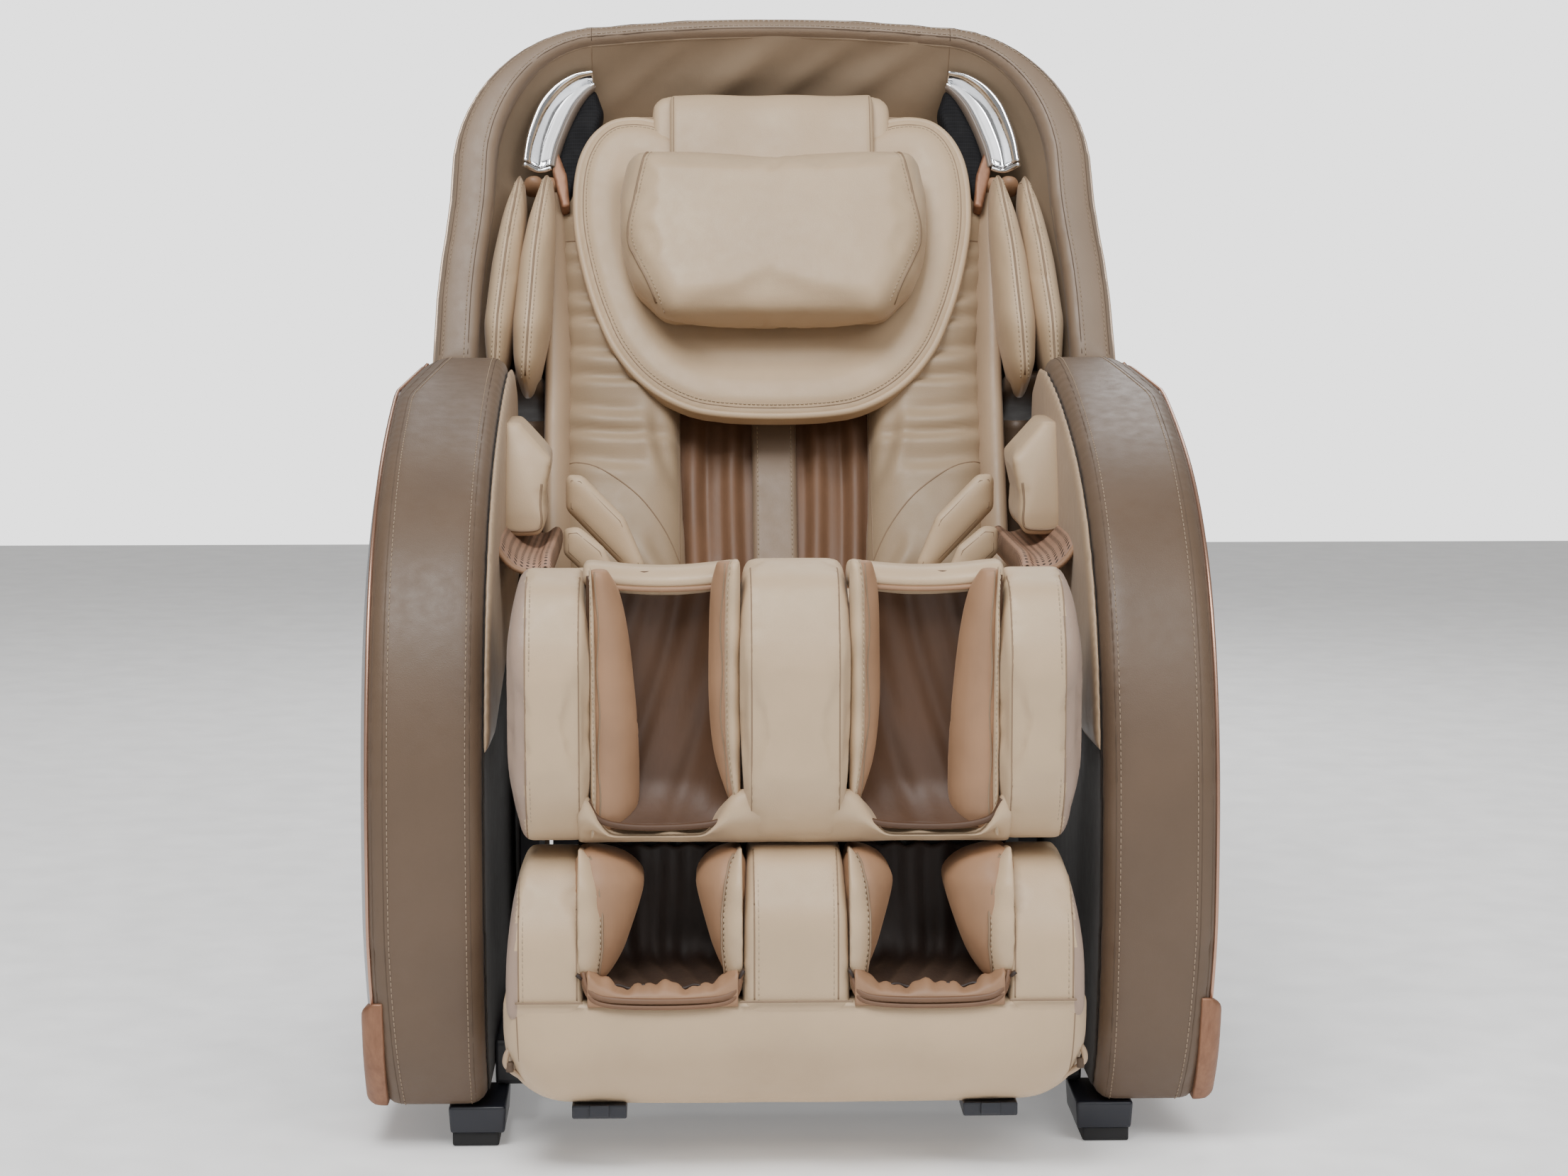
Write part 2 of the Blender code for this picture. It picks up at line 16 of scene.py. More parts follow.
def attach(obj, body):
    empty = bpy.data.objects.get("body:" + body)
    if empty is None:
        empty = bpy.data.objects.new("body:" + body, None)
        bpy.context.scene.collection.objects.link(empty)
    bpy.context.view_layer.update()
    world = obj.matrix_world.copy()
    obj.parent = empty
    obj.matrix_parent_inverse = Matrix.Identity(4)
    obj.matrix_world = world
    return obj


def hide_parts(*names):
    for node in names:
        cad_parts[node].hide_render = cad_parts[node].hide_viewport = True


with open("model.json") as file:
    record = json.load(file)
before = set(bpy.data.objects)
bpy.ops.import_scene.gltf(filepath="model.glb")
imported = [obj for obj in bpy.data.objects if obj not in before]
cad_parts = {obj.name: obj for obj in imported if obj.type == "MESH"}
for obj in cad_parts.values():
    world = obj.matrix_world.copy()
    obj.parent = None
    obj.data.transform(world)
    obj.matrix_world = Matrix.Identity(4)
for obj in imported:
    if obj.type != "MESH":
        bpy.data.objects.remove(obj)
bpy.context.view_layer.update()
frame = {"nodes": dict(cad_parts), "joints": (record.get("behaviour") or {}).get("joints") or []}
NODES = frame["nodes"]
JOINTS = {joint["name"]: joint for joint in frame["joints"]}


# ---- body frames ----
def front_frame(origin, lean=0.0):
    """Matrix whose columns are X, U and F for a body that leans back by that many degrees."""
    a = math.radians(lean)
    up = Vector((0.0, math.sin(a), math.cos(a)))
    forward = Vector((0.0, -math.cos(a), math.sin(a)))
    across = Vector((1.0, 0.0, 0.0))
    rows = [[across[i], up[i], forward[i], origin[i]] for i in range(3)]
    return Matrix(rows + [[0.0, 0.0, 0.0, 1.0]])


def joint_at(name):
    return Vector(JOINTS[name]["pos_m"])


TRAVEL = Vector(JOINTS["carriage_travel"]["axis"])
LEAN = math.degrees(math.atan2(TRAVEL.y, TRAVEL.z))
BASE = front_frame((0.0, 0.0, 0.0))
SEAT = front_frame(joint_at("seat_tilt"))
BACK = front_frame(joint_at("back_recline"), LEAN)
LEG = front_frame(joint_at("leg_lift"))


def local_box(node, matrix):
    """Limits of a CAD node in a body's frame: lowest and highest X, U, F."""
    inverse = matrix.inverted()
    points = [inverse @ v.co for v in NODES[node].data.vertices]
    low = Vector([min(p[i] for p in points) for i in range(3)])
    high = Vector([max(p[i] for p in points) for i in range(3)])
    return low, high


# ---- materials ----
NOISE_LOW, NOISE_HIGH = 0.3, 0.7        # nearly all of a noise texture's values lie between these


def new_material(name, settings=None):
    """A material, its node tree and its shader, whose uniform inputs are set from settings."""
    mat = bpy.data.materials.new(name)
    mat.use_nodes = True
    tree = mat.node_tree
    shader = tree.nodes["Principled BSDF"]
    set_inputs(shader, settings or {})
    return mat, tree, shader


def set_inputs(node, settings):
    for key, value in settings.items():
        node.inputs[key].default_value = value


def add(tree, kind, **values):
    node = tree.nodes.new(kind)
    for key, value in values.items():
        if key in node.inputs:
            node.inputs[key].default_value = value
        else:
            setattr(node, key, value)
    return node


def coordinates(tree, scale=(1.0, 1.0, 1.0)):
    coord = add(tree, "ShaderNodeTexCoord")
    mapping = add(tree, "ShaderNodeMapping")
    mapping.inputs["Scale"].default_value = scale
    tree.links.new(coord.outputs["Object"], mapping.inputs["Vector"])
    return mapping.outputs["Vector"]


def noise_at(tree, where, scale, detail=4.0, rough=0.55):
    node = add(tree, "ShaderNodeTexNoise", Scale=scale, Detail=detail, Roughness=rough)
    tree.links.new(where, node.inputs["Vector"])
    return node.outputs["Fac"]


def spread(tree, value, low, high):
    """Map the middle range of a noise value to low..high."""
    node = add(tree, "ShaderNodeMapRange")
    set_inputs(node, {"From Min": NOISE_LOW, "From Max": NOISE_HIGH, "To Min": low, "To Max": high})
    tree.links.new(value, node.inputs["Value"])
    return node.outputs["Result"]


def tint(tree, value, dark, light):
    ramp = add(tree, "ShaderNodeValToRGB")
    stops = ((NOISE_LOW, dark), (NOISE_HIGH, light))
    for element, (position, colour) in zip(ramp.color_ramp.elements, stops):
        element.position = position
        element.color = (*colour, 1.0)
    tree.links.new(value, ramp.inputs["Fac"])
    return ramp.outputs["Color"]


def bump(tree, shader, height, strength, distance, before=None):
    node = add(tree, "ShaderNodeBump", Strength=strength, Distance=distance)
    tree.links.new(height, node.inputs["Height"])
    if before is not None:
        tree.links.new(before, node.inputs["Normal"])
    tree.links.new(node.outputs["Normal"], shader.inputs["Normal"])
    return node.outputs["Normal"]


def paint(tree, shader, value, colour, down, up):
    """Base colour that drifts between two shades of colour with a texture's value."""
    dark = [c * down for c in colour]
    light = [min(1.0, c * up) for c in colour]
    tree.links.new(tint(tree, value, dark, light), shader.inputs["Base Color"])


def gloss(tree, shader, value, low, high):
    tree.links.new(spread(tree, value, low, high), shader.inputs["Roughness"])


def leather(name, colour, rough=0.46):
    """Smooth synthetic leather: fine cell grain, soft creases and slight colour drift."""
    mat, tree, shader = new_material(name, {"Specular IOR Level": 0.42, "Sheen Weight": 0.08,
                                            "Sheen Roughness": 0.4})
    where = coordinates(tree)
    paint(tree, shader, noise_at(tree, where, 9.0, 3.0), colour, 0.93, 1.05)
    gloss(tree, shader, noise_at(tree, where, 60.0, 3.0), rough - 0.05, rough + 0.07)
    cells = add(tree, "ShaderNodeTexVoronoi", Scale=900.0)
    tree.links.new(where, cells.inputs["Vector"])
    grain = bump(tree, shader, cells.outputs["Distance"], 0.22, 0.0004)
    bump(tree, shader, noise_at(tree, where, 38.0, 5.0, 0.6), 0.16, 0.002, grain)
    return mat


def satin(name, colour):
    """Thin brown lining cloth with a soft sheen and a fine weave."""
    mat, tree, shader = new_material(name, {"Sheen Weight": 0.25, "Sheen Roughness": 0.4,
                                            "Sheen Tint": (0.75, 0.48, 0.30, 1.0)})
    where = coordinates(tree)
    drift = noise_at(tree, where, 14.0, 4.0)
    paint(tree, shader, drift, colour, 0.86, 1.10)
    gloss(tree, shader, drift, 0.52, 0.64)
    weave = add(tree, "ShaderNodeTexWave", Scale=420.0, Distortion=0.4)
    weave.bands_direction = "Z"
    tree.links.new(where, weave.inputs["Vector"])
    first = bump(tree, shader, weave.outputs["Fac"], 0.12, 0.0003)
    folds = noise_at(tree, coordinates(tree, (60.0, 60.0, 9.0)), 1.0, 3.0)
    bump(tree, shader, folds, 0.18, 0.003, first)
    return mat


def perforated(name, colour):
    """Lining cloth punched with rows of small dark holes."""
    mat, tree, shader = new_material(name)
    where = coordinates(tree)
    split = add(tree, "ShaderNodeSeparateXYZ")
    tree.links.new(where, split.inputs["Vector"])
    rise = add(tree, "ShaderNodeMath", operation="SUBTRACT")
    tree.links.new(split.outputs["Z"], rise.inputs[0])
    tree.links.new(split.outputs["Y"], rise.inputs[1])
    flat = add(tree, "ShaderNodeCombineXYZ")
    tree.links.new(split.outputs["X"], flat.inputs["X"])
    tree.links.new(rise.outputs["Value"], flat.inputs["Y"])
    cells = add(tree, "ShaderNodeTexVoronoi", voronoi_dimensions="2D", Scale=150.0, Randomness=0.0)
    tree.links.new(flat.outputs["Vector"], cells.inputs["Vector"])
    hole = add(tree, "ShaderNodeMath", operation="LESS_THAN")
    hole.inputs[1].default_value = 0.27
    tree.links.new(cells.outputs["Distance"], hole.inputs[0])
    mix = add(tree, "ShaderNodeMix", data_type="RGBA")
    base = tint(tree, noise_at(tree, where, 20.0), [c * 0.9 for c in colour], [c * 1.08 for c in colour])
    tree.links.new(hole.outputs["Value"], mix.inputs["Factor"])
    tree.links.new(base, mix.inputs["A"])
    mix.inputs["B"].default_value = (0.05, 0.03, 0.02, 1.0)
    tree.links.new(mix.outputs["Result"], shader.inputs["Base Color"])
    bump(tree, shader, noise_at(tree, where, 300.0), 0.15, 0.0004)
    gloss(tree, shader, noise_at(tree, where, 30.0), 0.55, 0.7)
    return mat


def moulded(name, colour, rough, metal=0.0, flake=0.0):
    """Moulded plastic or painted metal: fine texture, slight gloss drift."""
    mat, tree, shader = new_material(name, {"Metallic": metal})
    where = coordinates(tree)
    paint(tree, shader, noise_at(tree, where, 12.0, 3.0), colour, 0.92 - flake, 1.05 + flake)
    gloss(tree, shader, noise_at(tree, where, 10.0, 2.0), max(0.03, rough - 0.03), rough + 0.03)
    bump(tree, shader, noise_at(tree, where, 260.0, 1.0), 0.04, 0.0002)
    return mat


def brushed(name, colour, rough=0.25):
    """Ground or polished metal with streaks along X."""
    mat, tree, shader = new_material(name, {"Metallic": 1.0})
    streak = noise_at(tree, coordinates(tree, (3.0, 400.0, 400.0)), 1.0, 4.0)
    paint(tree, shader, streak, colour, 0.85, 1.0)
    gloss(tree, shader, streak, rough - 0.08, rough + 0.10)
    bump(tree, shader, streak, 0.08, 0.0002)
    return mat


def copper_wood(name):
    """Satin copper-brown inlay with a fine straight grain."""
    mat, tree, shader = new_material(name, {"Metallic": 0.35})
    grain = noise_at(tree, coordinates(tree, (40.0, 40.0, 6.0)), 3.0, 6.0, 0.65)
    tree.links.new(tint(tree, grain, (0.19, 0.085, 0.045), (0.30, 0.15, 0.085)), shader.inputs["Base Color"])
    gloss(tree, shader, grain, 0.42, 0.55)
    bump(tree, shader, grain, 0.10, 0.0005)
    return mat


def mesh_grille(name):
    """Black woven speaker cloth."""
    mat, tree, shader = new_material(name, {"Specular IOR Level": 0.2})
    where = coordinates(tree)
    cells = add(tree, "ShaderNodeTexVoronoi", Scale=420.0, Randomness=0.0)
    tree.links.new(where, cells.inputs["Vector"])
    shade = tint(tree, cells.outputs["Distance"], (0.003, 0.003, 0.0035), (0.010, 0.010, 0.012))
    tree.links.new(shade, shader.inputs["Base Color"])
    bump(tree, shader, cells.outputs["Distance"], 0.5, 0.0008)
    gloss(tree, shader, noise_at(tree, where, 50.0), 0.70, 0.85)
    return mat


BEIGE = leather("leather_beige_skin", (0.50, 0.366, 0.232), 0.46)
BEIGE_SIDE = leather("leather_beige_side", (0.40, 0.285, 0.185), 0.48)
TAUPE = leather("leather_taupe_skin", (0.112, 0.072, 0.045), 0.47)
# near-black taupe on the arm's inner face: painted shade between the arm and the calf rest
TAUPE_INSIDE_SHADE = leather("leather_taupe_inside", (0.020, 0.014, 0.010), 0.80)
TAUPE_LIGHT = leather("leather_greige_skin", (0.22, 0.155, 0.103), 0.47)
# darker copy of the beige leather: painted shade on the bolsters and the seat roll
BEIGE_BACK_SHADE = leather("leather_beige_back", (0.345, 0.252, 0.160), 0.50)
# darker beige for the hood's ceiling and its piping: painted shade under the hood, partly a more taupe tone
BEIGE_SHADE = leather("leather_beige_ceiling", (0.275, 0.200, 0.132), 0.50)
TAUPE_RIM = leather("leather_taupe_rim", (0.215, 0.153, 0.105), 0.47)
TRIM_PALE = moulded("trim_pale_gold", (0.62, 0.47, 0.35), 0.35, 0.4)
SIDE_PINK = leather("leather_side_panel", (0.33, 0.235, 0.18), 0.46)
SATIN = satin("satin_tan", (0.305, 0.172, 0.095))
# brown lining satin, darkened further as painted shade deep in the calf wells
SATIN_DARK_SHADED = satin("satin_brown", (0.068, 0.030, 0.0125))
# brown satin darkened nearly to black: painted shade deep inside the foot wells
SATIN_DEEP_SHADE = satin("satin_deep_brown", (0.022, 0.011, 0.007))
SATIN_MID = satin("satin_cinnamon", (0.150, 0.076, 0.039))
PERFORATED = perforated("perforated_brown", (0.33, 0.195, 0.13))
THREAD_BEIGE = moulded("thread_beige", (0.40, 0.31, 0.21), 0.6)
THREAD_TAUPE = moulded("thread_taupe", (0.30, 0.22, 0.15), 0.6)
# seam cords are coloured darker than the leather: painted shadow in the seam grooves; the dark one also
# colours the zip tab
SEAM_DARK = moulded("seam_shadow", (0.09, 0.058, 0.036), 0.8)
SEAM_SHADE_BEIGE = moulded("seam_beige", (0.23, 0.155, 0.095), 0.7)
LIGHT_PANEL = moulded("plastic_white_satin", (0.86, 0.87, 0.89), 0.22)
SILVER = moulded("plastic_silver_satin", (0.30, 0.30, 0.31), 0.40, 0.0, -0.05)
BLACK = moulded("plastic_black_satin", (0.012, 0.014, 0.022), 0.38)
RUBBER = moulded("rubber_matt", (0.014, 0.014, 0.015), 0.75)
PAINTED = moulded("steel_powder_coat", (0.03, 0.03, 0.034), 0.42)
STEEL = brushed("steel_ground", (0.62, 0.62, 0.64))
CHROME = brushed("chrome_mirror", (0.86, 0.87, 0.89), 0.10)
COPPER = moulded("copper_trim", (0.46, 0.27, 0.19), 0.30, 0.8)
INLAY = copper_wood("copper_inlay")
GRILLE = mesh_grille("speaker_grille")
BEZEL = moulded("plastic_taupe_satin", (0.16, 0.125, 0.10), 0.32)


# ---- mesh tools ----
def mesh_object(name, bm, mat, smooth=True):
    mesh = bpy.data.meshes.new(name)
    bm.to_mesh(mesh)
    bm.free()
    if smooth:
        mesh.shade_smooth()
    mesh.materials.append(mat)
    obj = bpy.data.objects.new(name, mesh)
    bpy.context.scene.collection.objects.link(obj)
    return obj


def apply_modifiers(obj):
    graph = bpy.context.evaluated_depsgraph_get()
    mesh = bpy.data.meshes.new_from_object(obj.evaluated_get(graph))
    old = obj.data
    obj.modifiers.clear()
    obj.data = mesh
    bpy.data.meshes.remove(old)
    return obj


def points_of(obj):
    co = np.empty(len(obj.data.vertices) * 3)
    obj.data.vertices.foreach_get("co", co)
    return co.reshape(-1, 3)


def set_points(obj, co):
    obj.data.vertices.foreach_set("co", co.reshape(-1))
    obj.data.update()


def arc(cx, cy, radius, start, end, steps):
    points = []
    for i in range(steps + 1):
        a = math.radians(start + (end - start) * i / steps)
        points.append((cx + radius * math.cos(a), cy + radius * math.sin(a)))
    return points


def rounded(corners, radius, steps=5):
    """Replace each corner by an arc; radius is one number, or one per corner."""
    count = len(corners)
    radii = radius if isinstance(radius, (list, tuple)) else [radius] * count
    points = []
    for i, corner in enumerate(corners):
        here = Vector(corner)
        before = Vector(corners[i - 1]) - here
        after = Vector(corners[(i + 1) % count]) - here
        half = before.angle(after) / 2.0
        cut = min(radii[i] / math.tan(half), before.length * 0.47, after.length * 0.47)
        if cut < 1e-5:
            points.append(corner)
            continue
        before.normalize()
        after.normalize()
        centre = here + (before + after).normalized() * cut / math.cos(half)
        start = here + before * cut - centre
        turn = start.angle_signed(here + after * cut - centre)
        for k in range(steps + 1):
            spoke = start.copy()
            spoke.rotate(Matrix.Rotation(-turn * k / steps, 2))
            points.append(tuple(centre + spoke))
    return points


def smooth_line(points, closed=False, per=8):
    """Catmull-Rom curve through points of any dimension."""
    pts = [Vector(p) for p in points]
    count = len(pts)
    out = []
    spans = count if closed else count - 1
    for i in range(spans):
        p0 = pts[(i - 1) % count] if closed or i > 0 else pts[i]
        p1 = pts[i]
        p2 = pts[(i + 1) % count]
        p3 = pts[(i + 2) % count] if closed or i + 2 < count else p2
        for k in range(per):
            t = k / per
            out.append(0.5 * ((2 * p1) + (p2 - p0) * t + (2 * p0 - 5 * p1 + 4 * p2 - p3) * t * t
                              + (3 * p1 - p0 - 3 * p2 + p3) * t ** 3))
    if not closed:
        out.append(pts[-1])
    return out


def unit(values):
    """Hold values between 0 and 1."""
    return np.clip(values, 0.0, 1.0)


def edge_distance(points, outline):
    """Distance of each 2D point from a closed outline."""
    ring = np.array([tuple(p)[:2] for p in outline])
    best = np.full(len(points), 1e9)
    for a, b in zip(ring, np.roll(ring, -1, axis=0)):
        d = b - a
        t = unit(((points - a) @ d) / max(1e-12, d @ d))
        best = np.minimum(best, np.linalg.norm(points - (a + t[:, None] * d), axis=1))
    return best


AXES = {"front": (0, 1, 2), "side": (2, 1, 0), "top": (0, 2, 1)}


def slab_mesh(outline, facing, lo, hi):
    """A solid of an outline from lo to hi, in a body's own X, U, F."""
    i, j, k = AXES[facing]
    bm = bmesh.new()
    verts = []
    for point in outline:
        co = [0.0, 0.0, 0.0]
        co[i], co[j], co[k] = point[0], point[1], lo
        verts.append(bm.verts.new(co))
    face = bm.faces.new(verts)
    out = bmesh.ops.extrude_face_region(bm, geom=[face])
    moved = [v for v in out["geom"] if isinstance(v, bmesh.types.BMVert)]
    shift = [0.0, 0.0, 0.0]
    shift[k] = hi - lo
    bmesh.ops.translate(bm, verts=moved, vec=shift)
    bmesh.ops.recalc_face_normals(bm, faces=bm.faces)
    return bm


def pad(name, matrix, facing, outline, lo, hi, mat, voxel=0.006, edge=0.03, lip=0.35, crown=0.0,
        rest=None, shape=None):
    """A padded form. Its faces fall away near the outline's edge, over the width edge, to lip times
    the thickness. rest is 'lo' or 'hi' for the face that stays flat. shape moves the points last."""
    i, j, k = AXES[facing]
    obj = mesh_object(name, slab_mesh(outline, facing, lo, hi), mat)
    remesh = obj.modifiers.new("Remesh", "REMESH")
    remesh.mode = "VOXEL"
    remesh.voxel_size = voxel
    apply_modifiers(obj)
    co = points_of(obj)
    away = edge_distance(co[:, [i, j]], outline)
    t = unit(away / edge)
    fall = lip + (1.0 - lip) * np.sqrt(unit(1.0 - (1.0 - t) ** 2))
    if crown:
        fall += crown * unit(away / max(1e-6, away.max())) ** 0.7
    pivot = {"lo": lo, "hi": hi, None: (lo + hi) / 2.0}[rest]
    co[:, k] = pivot + (co[:, k] - pivot) * fall / (1.0 + crown)
    if shape is not None:
        co = shape(co)
    set_points(obj, co)
    soften(obj, 4)
    obj.data.materials.clear()
    obj.data.materials.append(mat)
    obj.data.transform(matrix)
    return obj


def inflate(obj, pressure=4.0, cap=0.012, frames=20, pins=None):
    """Swell a closed padded form with cloth simulation, and cap how far a point moves."""
    before = points_of(obj).copy()
    cloth = obj.modifiers.new("Cloth", "CLOTH")
    settings = cloth.settings
    settings.quality = 4
    settings.mass = 0.3
    settings.tension_stiffness = 12.0
    settings.compression_stiffness = 12.0
    settings.bending_stiffness = 0.6
    settings.use_pressure = True
    settings.uniform_pressure_force = pressure
    settings.effector_weights.gravity = 0.0
    if pins is not None:
        group = obj.vertex_groups.new(name="pins")
        for index in np.nonzero(pins(before))[0]:
            group.add([int(index)], 1.0, "REPLACE")
        settings.vertex_group_mass = "pins"
    cloth.point_cache.frame_start = 1
    cloth.point_cache.frame_end = frames
    scene = bpy.context.scene
    for number in range(1, frames + 1):
        scene.frame_set(number)
    apply_modifiers(obj)
    scene.frame_set(1)
    after = points_of(obj)
    move = after - before
    length = np.linalg.norm(move, axis=1)
    scale = np.where(length > cap, cap / np.maximum(length, 1e-9), 1.0)
    set_points(obj, before + move * scale[:, None])
    obj.vertex_groups.clear()
    obj.data.shade_smooth()
    return obj


def tree_of(obj):
    mesh = obj.data
    return BVHTree.FromPolygons([v.co for v in mesh.vertices], [p.vertices for p in mesh.polygons])


def strike(tree, point, way, start, reach):
    """The (point, normal) where a ray from start behind a point lands, in a list; empty if it misses."""
    place, normal = tree.ray_cast(Vector(point) - way * start, way, reach)[:2]
    return [] if place is None else [(place, normal)]


def laid_on(points, tree, direction, start=0.15):
    """Drop world points onto a surface along a direction; keeps only those that land."""
    way = Vector(direction).normalized()
    return [hit for point in points for hit in strike(tree, point, way, start, start * 2.5)]


def face_points(line, f, matrix=BACK):
    """World points of an (across, up) line at one F."""
    return [matrix @ Vector((x, u, f)) for x, u in line]


def even_steps(line, step):
    """Points at equal spacing along a polyline of (point, normal) pairs."""
    out = []
    rest = 0.0
    for (p, n), (q, m) in zip(line, line[1:]):
        length = (q - p).length
        if length < 1e-9 or length > 0.05:
            continue
        at = rest
        while at < length:
            t = at / length
            out.append((p.lerp(q, t), n.lerp(m, t).normalized(), (q - p).normalized()))
            at += step
        rest = at - length
    return out


def tube_mesh(bm, line, radius, sides=6, closed=False):
    """A tube along (point, normal) pairs added to bm."""
    rings = []
    count = len(line)
    for index, (point, normal) in enumerate(line):
        ahead = line[(index + 1) % count][0] if closed or index < count - 1 else point
        behind = line[index - 1][0] if closed or index > 0 else point
        along = (ahead - behind).normalized()
        side = along.cross(normal)
        if side.length < 1e-6:
            side = along.orthogonal()
        side.normalize()
        top = side.cross(along)
        ring = []
        for s in range(sides):
            a = 2.0 * math.pi * s / sides
            ring.append(bm.verts.new(point + (side * math.cos(a) + top * math.sin(a)) * radius))
        rings.append(ring)
    pairs = list(zip(rings, rings[1:]))
    if closed:
        pairs.append((rings[-1], rings[0]))
    for a, b in pairs:
        for s in range(sides):
            bm.faces.new((a[s], a[(s + 1) % sides], b[(s + 1) % sides], b[s]))
    if not closed:
        bm.faces.new(rings[0][::-1])
        bm.faces.new(rings[-1])


class Trim:
    """Gathers the thin seams and stitches of one body, so that they make two pieces."""

    def __init__(self, body, thread):
        self.body = body
        self.thread = thread
        self.seams = bmesh.new()
        self.threads = bmesh.new()

    def seam(self, landed, radius=0.0009, sink=0.0003, closed=False):
        line = [(p - n * sink, n) for p, n in landed]
        if len(line) > 2:
            tube_mesh(self.seams, line, radius, 6, closed)

    def stitches(self, landed, pitch=0.0065, long=0.0045, wide=0.0009):
        for point, normal, along in even_steps(landed, pitch):
            a = point + normal * 0.0002 - along * long / 2.0
            b = point + normal * 0.0002 + along * long / 2.0
            tube_mesh(self.threads, [(a, normal), ((a + b) / 2.0 + normal * 0.0004, normal), (b, normal)],
                      wide / 2.0 * 1.3, 5)

    def finish(self, slot, pair=False):
        # the seam cords take a darker colour as painted shadow in their grooves
        groove = SEAM_DARK if self.thread is THREAD_TAUPE else SEAM_SHADE_BEIGE
        for bm, kind, mat in ((self.seams, "seams", groove), (self.threads, "stitches", self.thread)):
            if not bm.verts:
                continue
            if pair:
                copy = bmesh.ops.duplicate(bm, geom=bm.verts[:] + bm.edges[:] + bm.faces[:])["geom"]
                verts = [v for v in copy if isinstance(v, bmesh.types.BMVert)]
                faces = [f for f in copy if isinstance(f, bmesh.types.BMFace)]
                bmesh.ops.scale(bm, vec=(-1.0, 1.0, 1.0), verts=verts)
                bmesh.ops.reverse_faces(bm, faces=faces)
            obj = mesh_object(self.body + "_" + slot + "_" + kind, bm, mat)
            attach(obj, self.body)


def ride(obj, body, replaces=()):
    """Fasten a piece to a body, and hide the CAD parts that it replaces."""
    if replaces:
        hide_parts(*replaces)
    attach(obj, body)
    return obj


def mirrored(obj, name):
    """A copy of a world-space piece on the other side of the chair."""
    mesh = obj.data.copy()
    mesh.transform(Matrix.Scale(-1.0, 4, (1.0, 0.0, 0.0)))
    mesh.flip_normals()
    copy = bpy.data.objects.new(name, mesh)
    bpy.context.scene.collection.objects.link(copy)
    return copy


def soften(obj, rounds):
    """Relax a mesh and shade it smooth."""
    smooth = obj.modifiers.new("Smooth", "SMOOTH")
    smooth.factor = 0.6
    smooth.iterations = rounds
    apply_modifiers(obj)
    obj.data.shade_smooth()
    return obj


def ride_pair(obj, body, replaces=()):
    """Ride a left-hand piece, whose name ends in L, and its mirror image."""
    other = mirrored(obj, obj.name[:-1] + "R")
    for piece, tag in ((obj, "L"), (other, "R")):
        ride(piece, body, [node + tag for node in replaces])


def edge_path(outline, across):
    """World points on an open (forward, up) line at the X that across(f, u) gives, each with the
    direction that leads into the outline on the line's left."""
    path = []
    last = len(outline) - 1
    for index, (f, u) in enumerate(outline):
        before = outline[max(0, index - 1)]
        after = outline[min(last, index + 1)]
        inward = Vector((before[1] - after[1], after[0] - before[0])).normalized()
        path.append((SEAT @ Vector((across(f, u), u, f)), SEAT.to_3x3() @ Vector((0.0, inward.y, inward.x))))
    return path


def laid_round(outline, across, tree, start=0.05):
    """An edge path dropped onto a surface, each point along its own direction."""
    return [hit for point, way in edge_path(outline, across)
            for hit in strike(tree, point, Vector(way).normalized(), start, start * 2.0)]


def inset_outline(outline, inset):
    """Move a closed outline inwards."""
    count = len(outline)
    area = sum(outline[i - 1][0] * outline[i][1] - outline[i][0] * outline[i - 1][1] for i in range(count))
    turn = math.copysign(inset, area)
    moved = []
    for i in range(count):
        a, b = outline[i - 1], outline[(i + 1) % count]
        d = Vector((b[0] - a[0], b[1] - a[1])).normalized()
        moved.append((outline[i][0] - d.y * turn, outline[i][1] + d.x * turn))
    return moved


def lofted(name, lines, mat, matrix=BASE, closed=False):
    """A sheet through several lines of the same number of points."""
    bm = bmesh.new()
    rows = [[bm.verts.new(matrix @ Vector(p)) for p in line] for line in lines]
    for a, b in zip(rows, rows[1:]):
        for i in range(len(a) if closed else len(a) - 1):
            j = (i + 1) % len(a)
            bm.faces.new((a[i], a[j], b[j], b[i]))
    return mesh_object(name, bm, mat)


def thicken(obj, thickness, offset=-1.0, levels=0):
    solid = obj.modifiers.new("Solid", "SOLIDIFY")
    solid.thickness = thickness
    solid.offset = offset
    if levels:
        sub = obj.modifiers.new("Sub", "SUBSURF")
        sub.levels = levels
    apply_modifiers(obj)
    obj.data.shade_smooth()
    return obj


def bead(name, landed, radius, mat, closed=False, sides=8):
    """A round cord of piping or trim through (point, normal) pairs."""
    bm = bmesh.new()
    tube_mesh(bm, landed, radius, sides, closed)
    return mesh_object(name, bm, mat)


# ---- arms; side outlines are (forward, up) from the back hinge ----
ARM_LOW, ARM_HIGH = local_box("arm_body_L", SEAT)
SHELL_HIGH = local_box("arm_shell_L", SEAT)[1]
ARM_REAR_R = 0.345
FLOOR_U = ARM_LOW.y
ARM_CREST = [tuple(p) for p in smooth_line(
    [(0.53, FLOOR_U), (0.575, -0.33), (0.598, -0.18), (0.592, -0.03), (0.555, 0.095), (0.485, 0.195),
     (0.37, 0.275), (0.20, 0.335), (0.04, 0.368), (-0.042, 0.37)])]
ARM_BACK = arc(0.0, 0.0, ARM_REAR_R, 100.0, 192.0, 28)
ARM_HEEL = [tuple(p) for p in smooth_line([ARM_BACK[-1], (-0.331, -0.14), (-0.316, -0.22), (-0.298, -0.32),
                                           (-0.285, -0.365), (-0.255, FLOOR_U)], per=6)]
ARM_OUTLINE = ARM_CREST + ARM_BACK + ARM_HEEL[1:]
CHAMFER_FROM = 0.338         # up from here the band's outer edge is cut back
CHAMFER_CUT = 0.030
TUCK_FROM = -0.20            # down from here it is drawn in
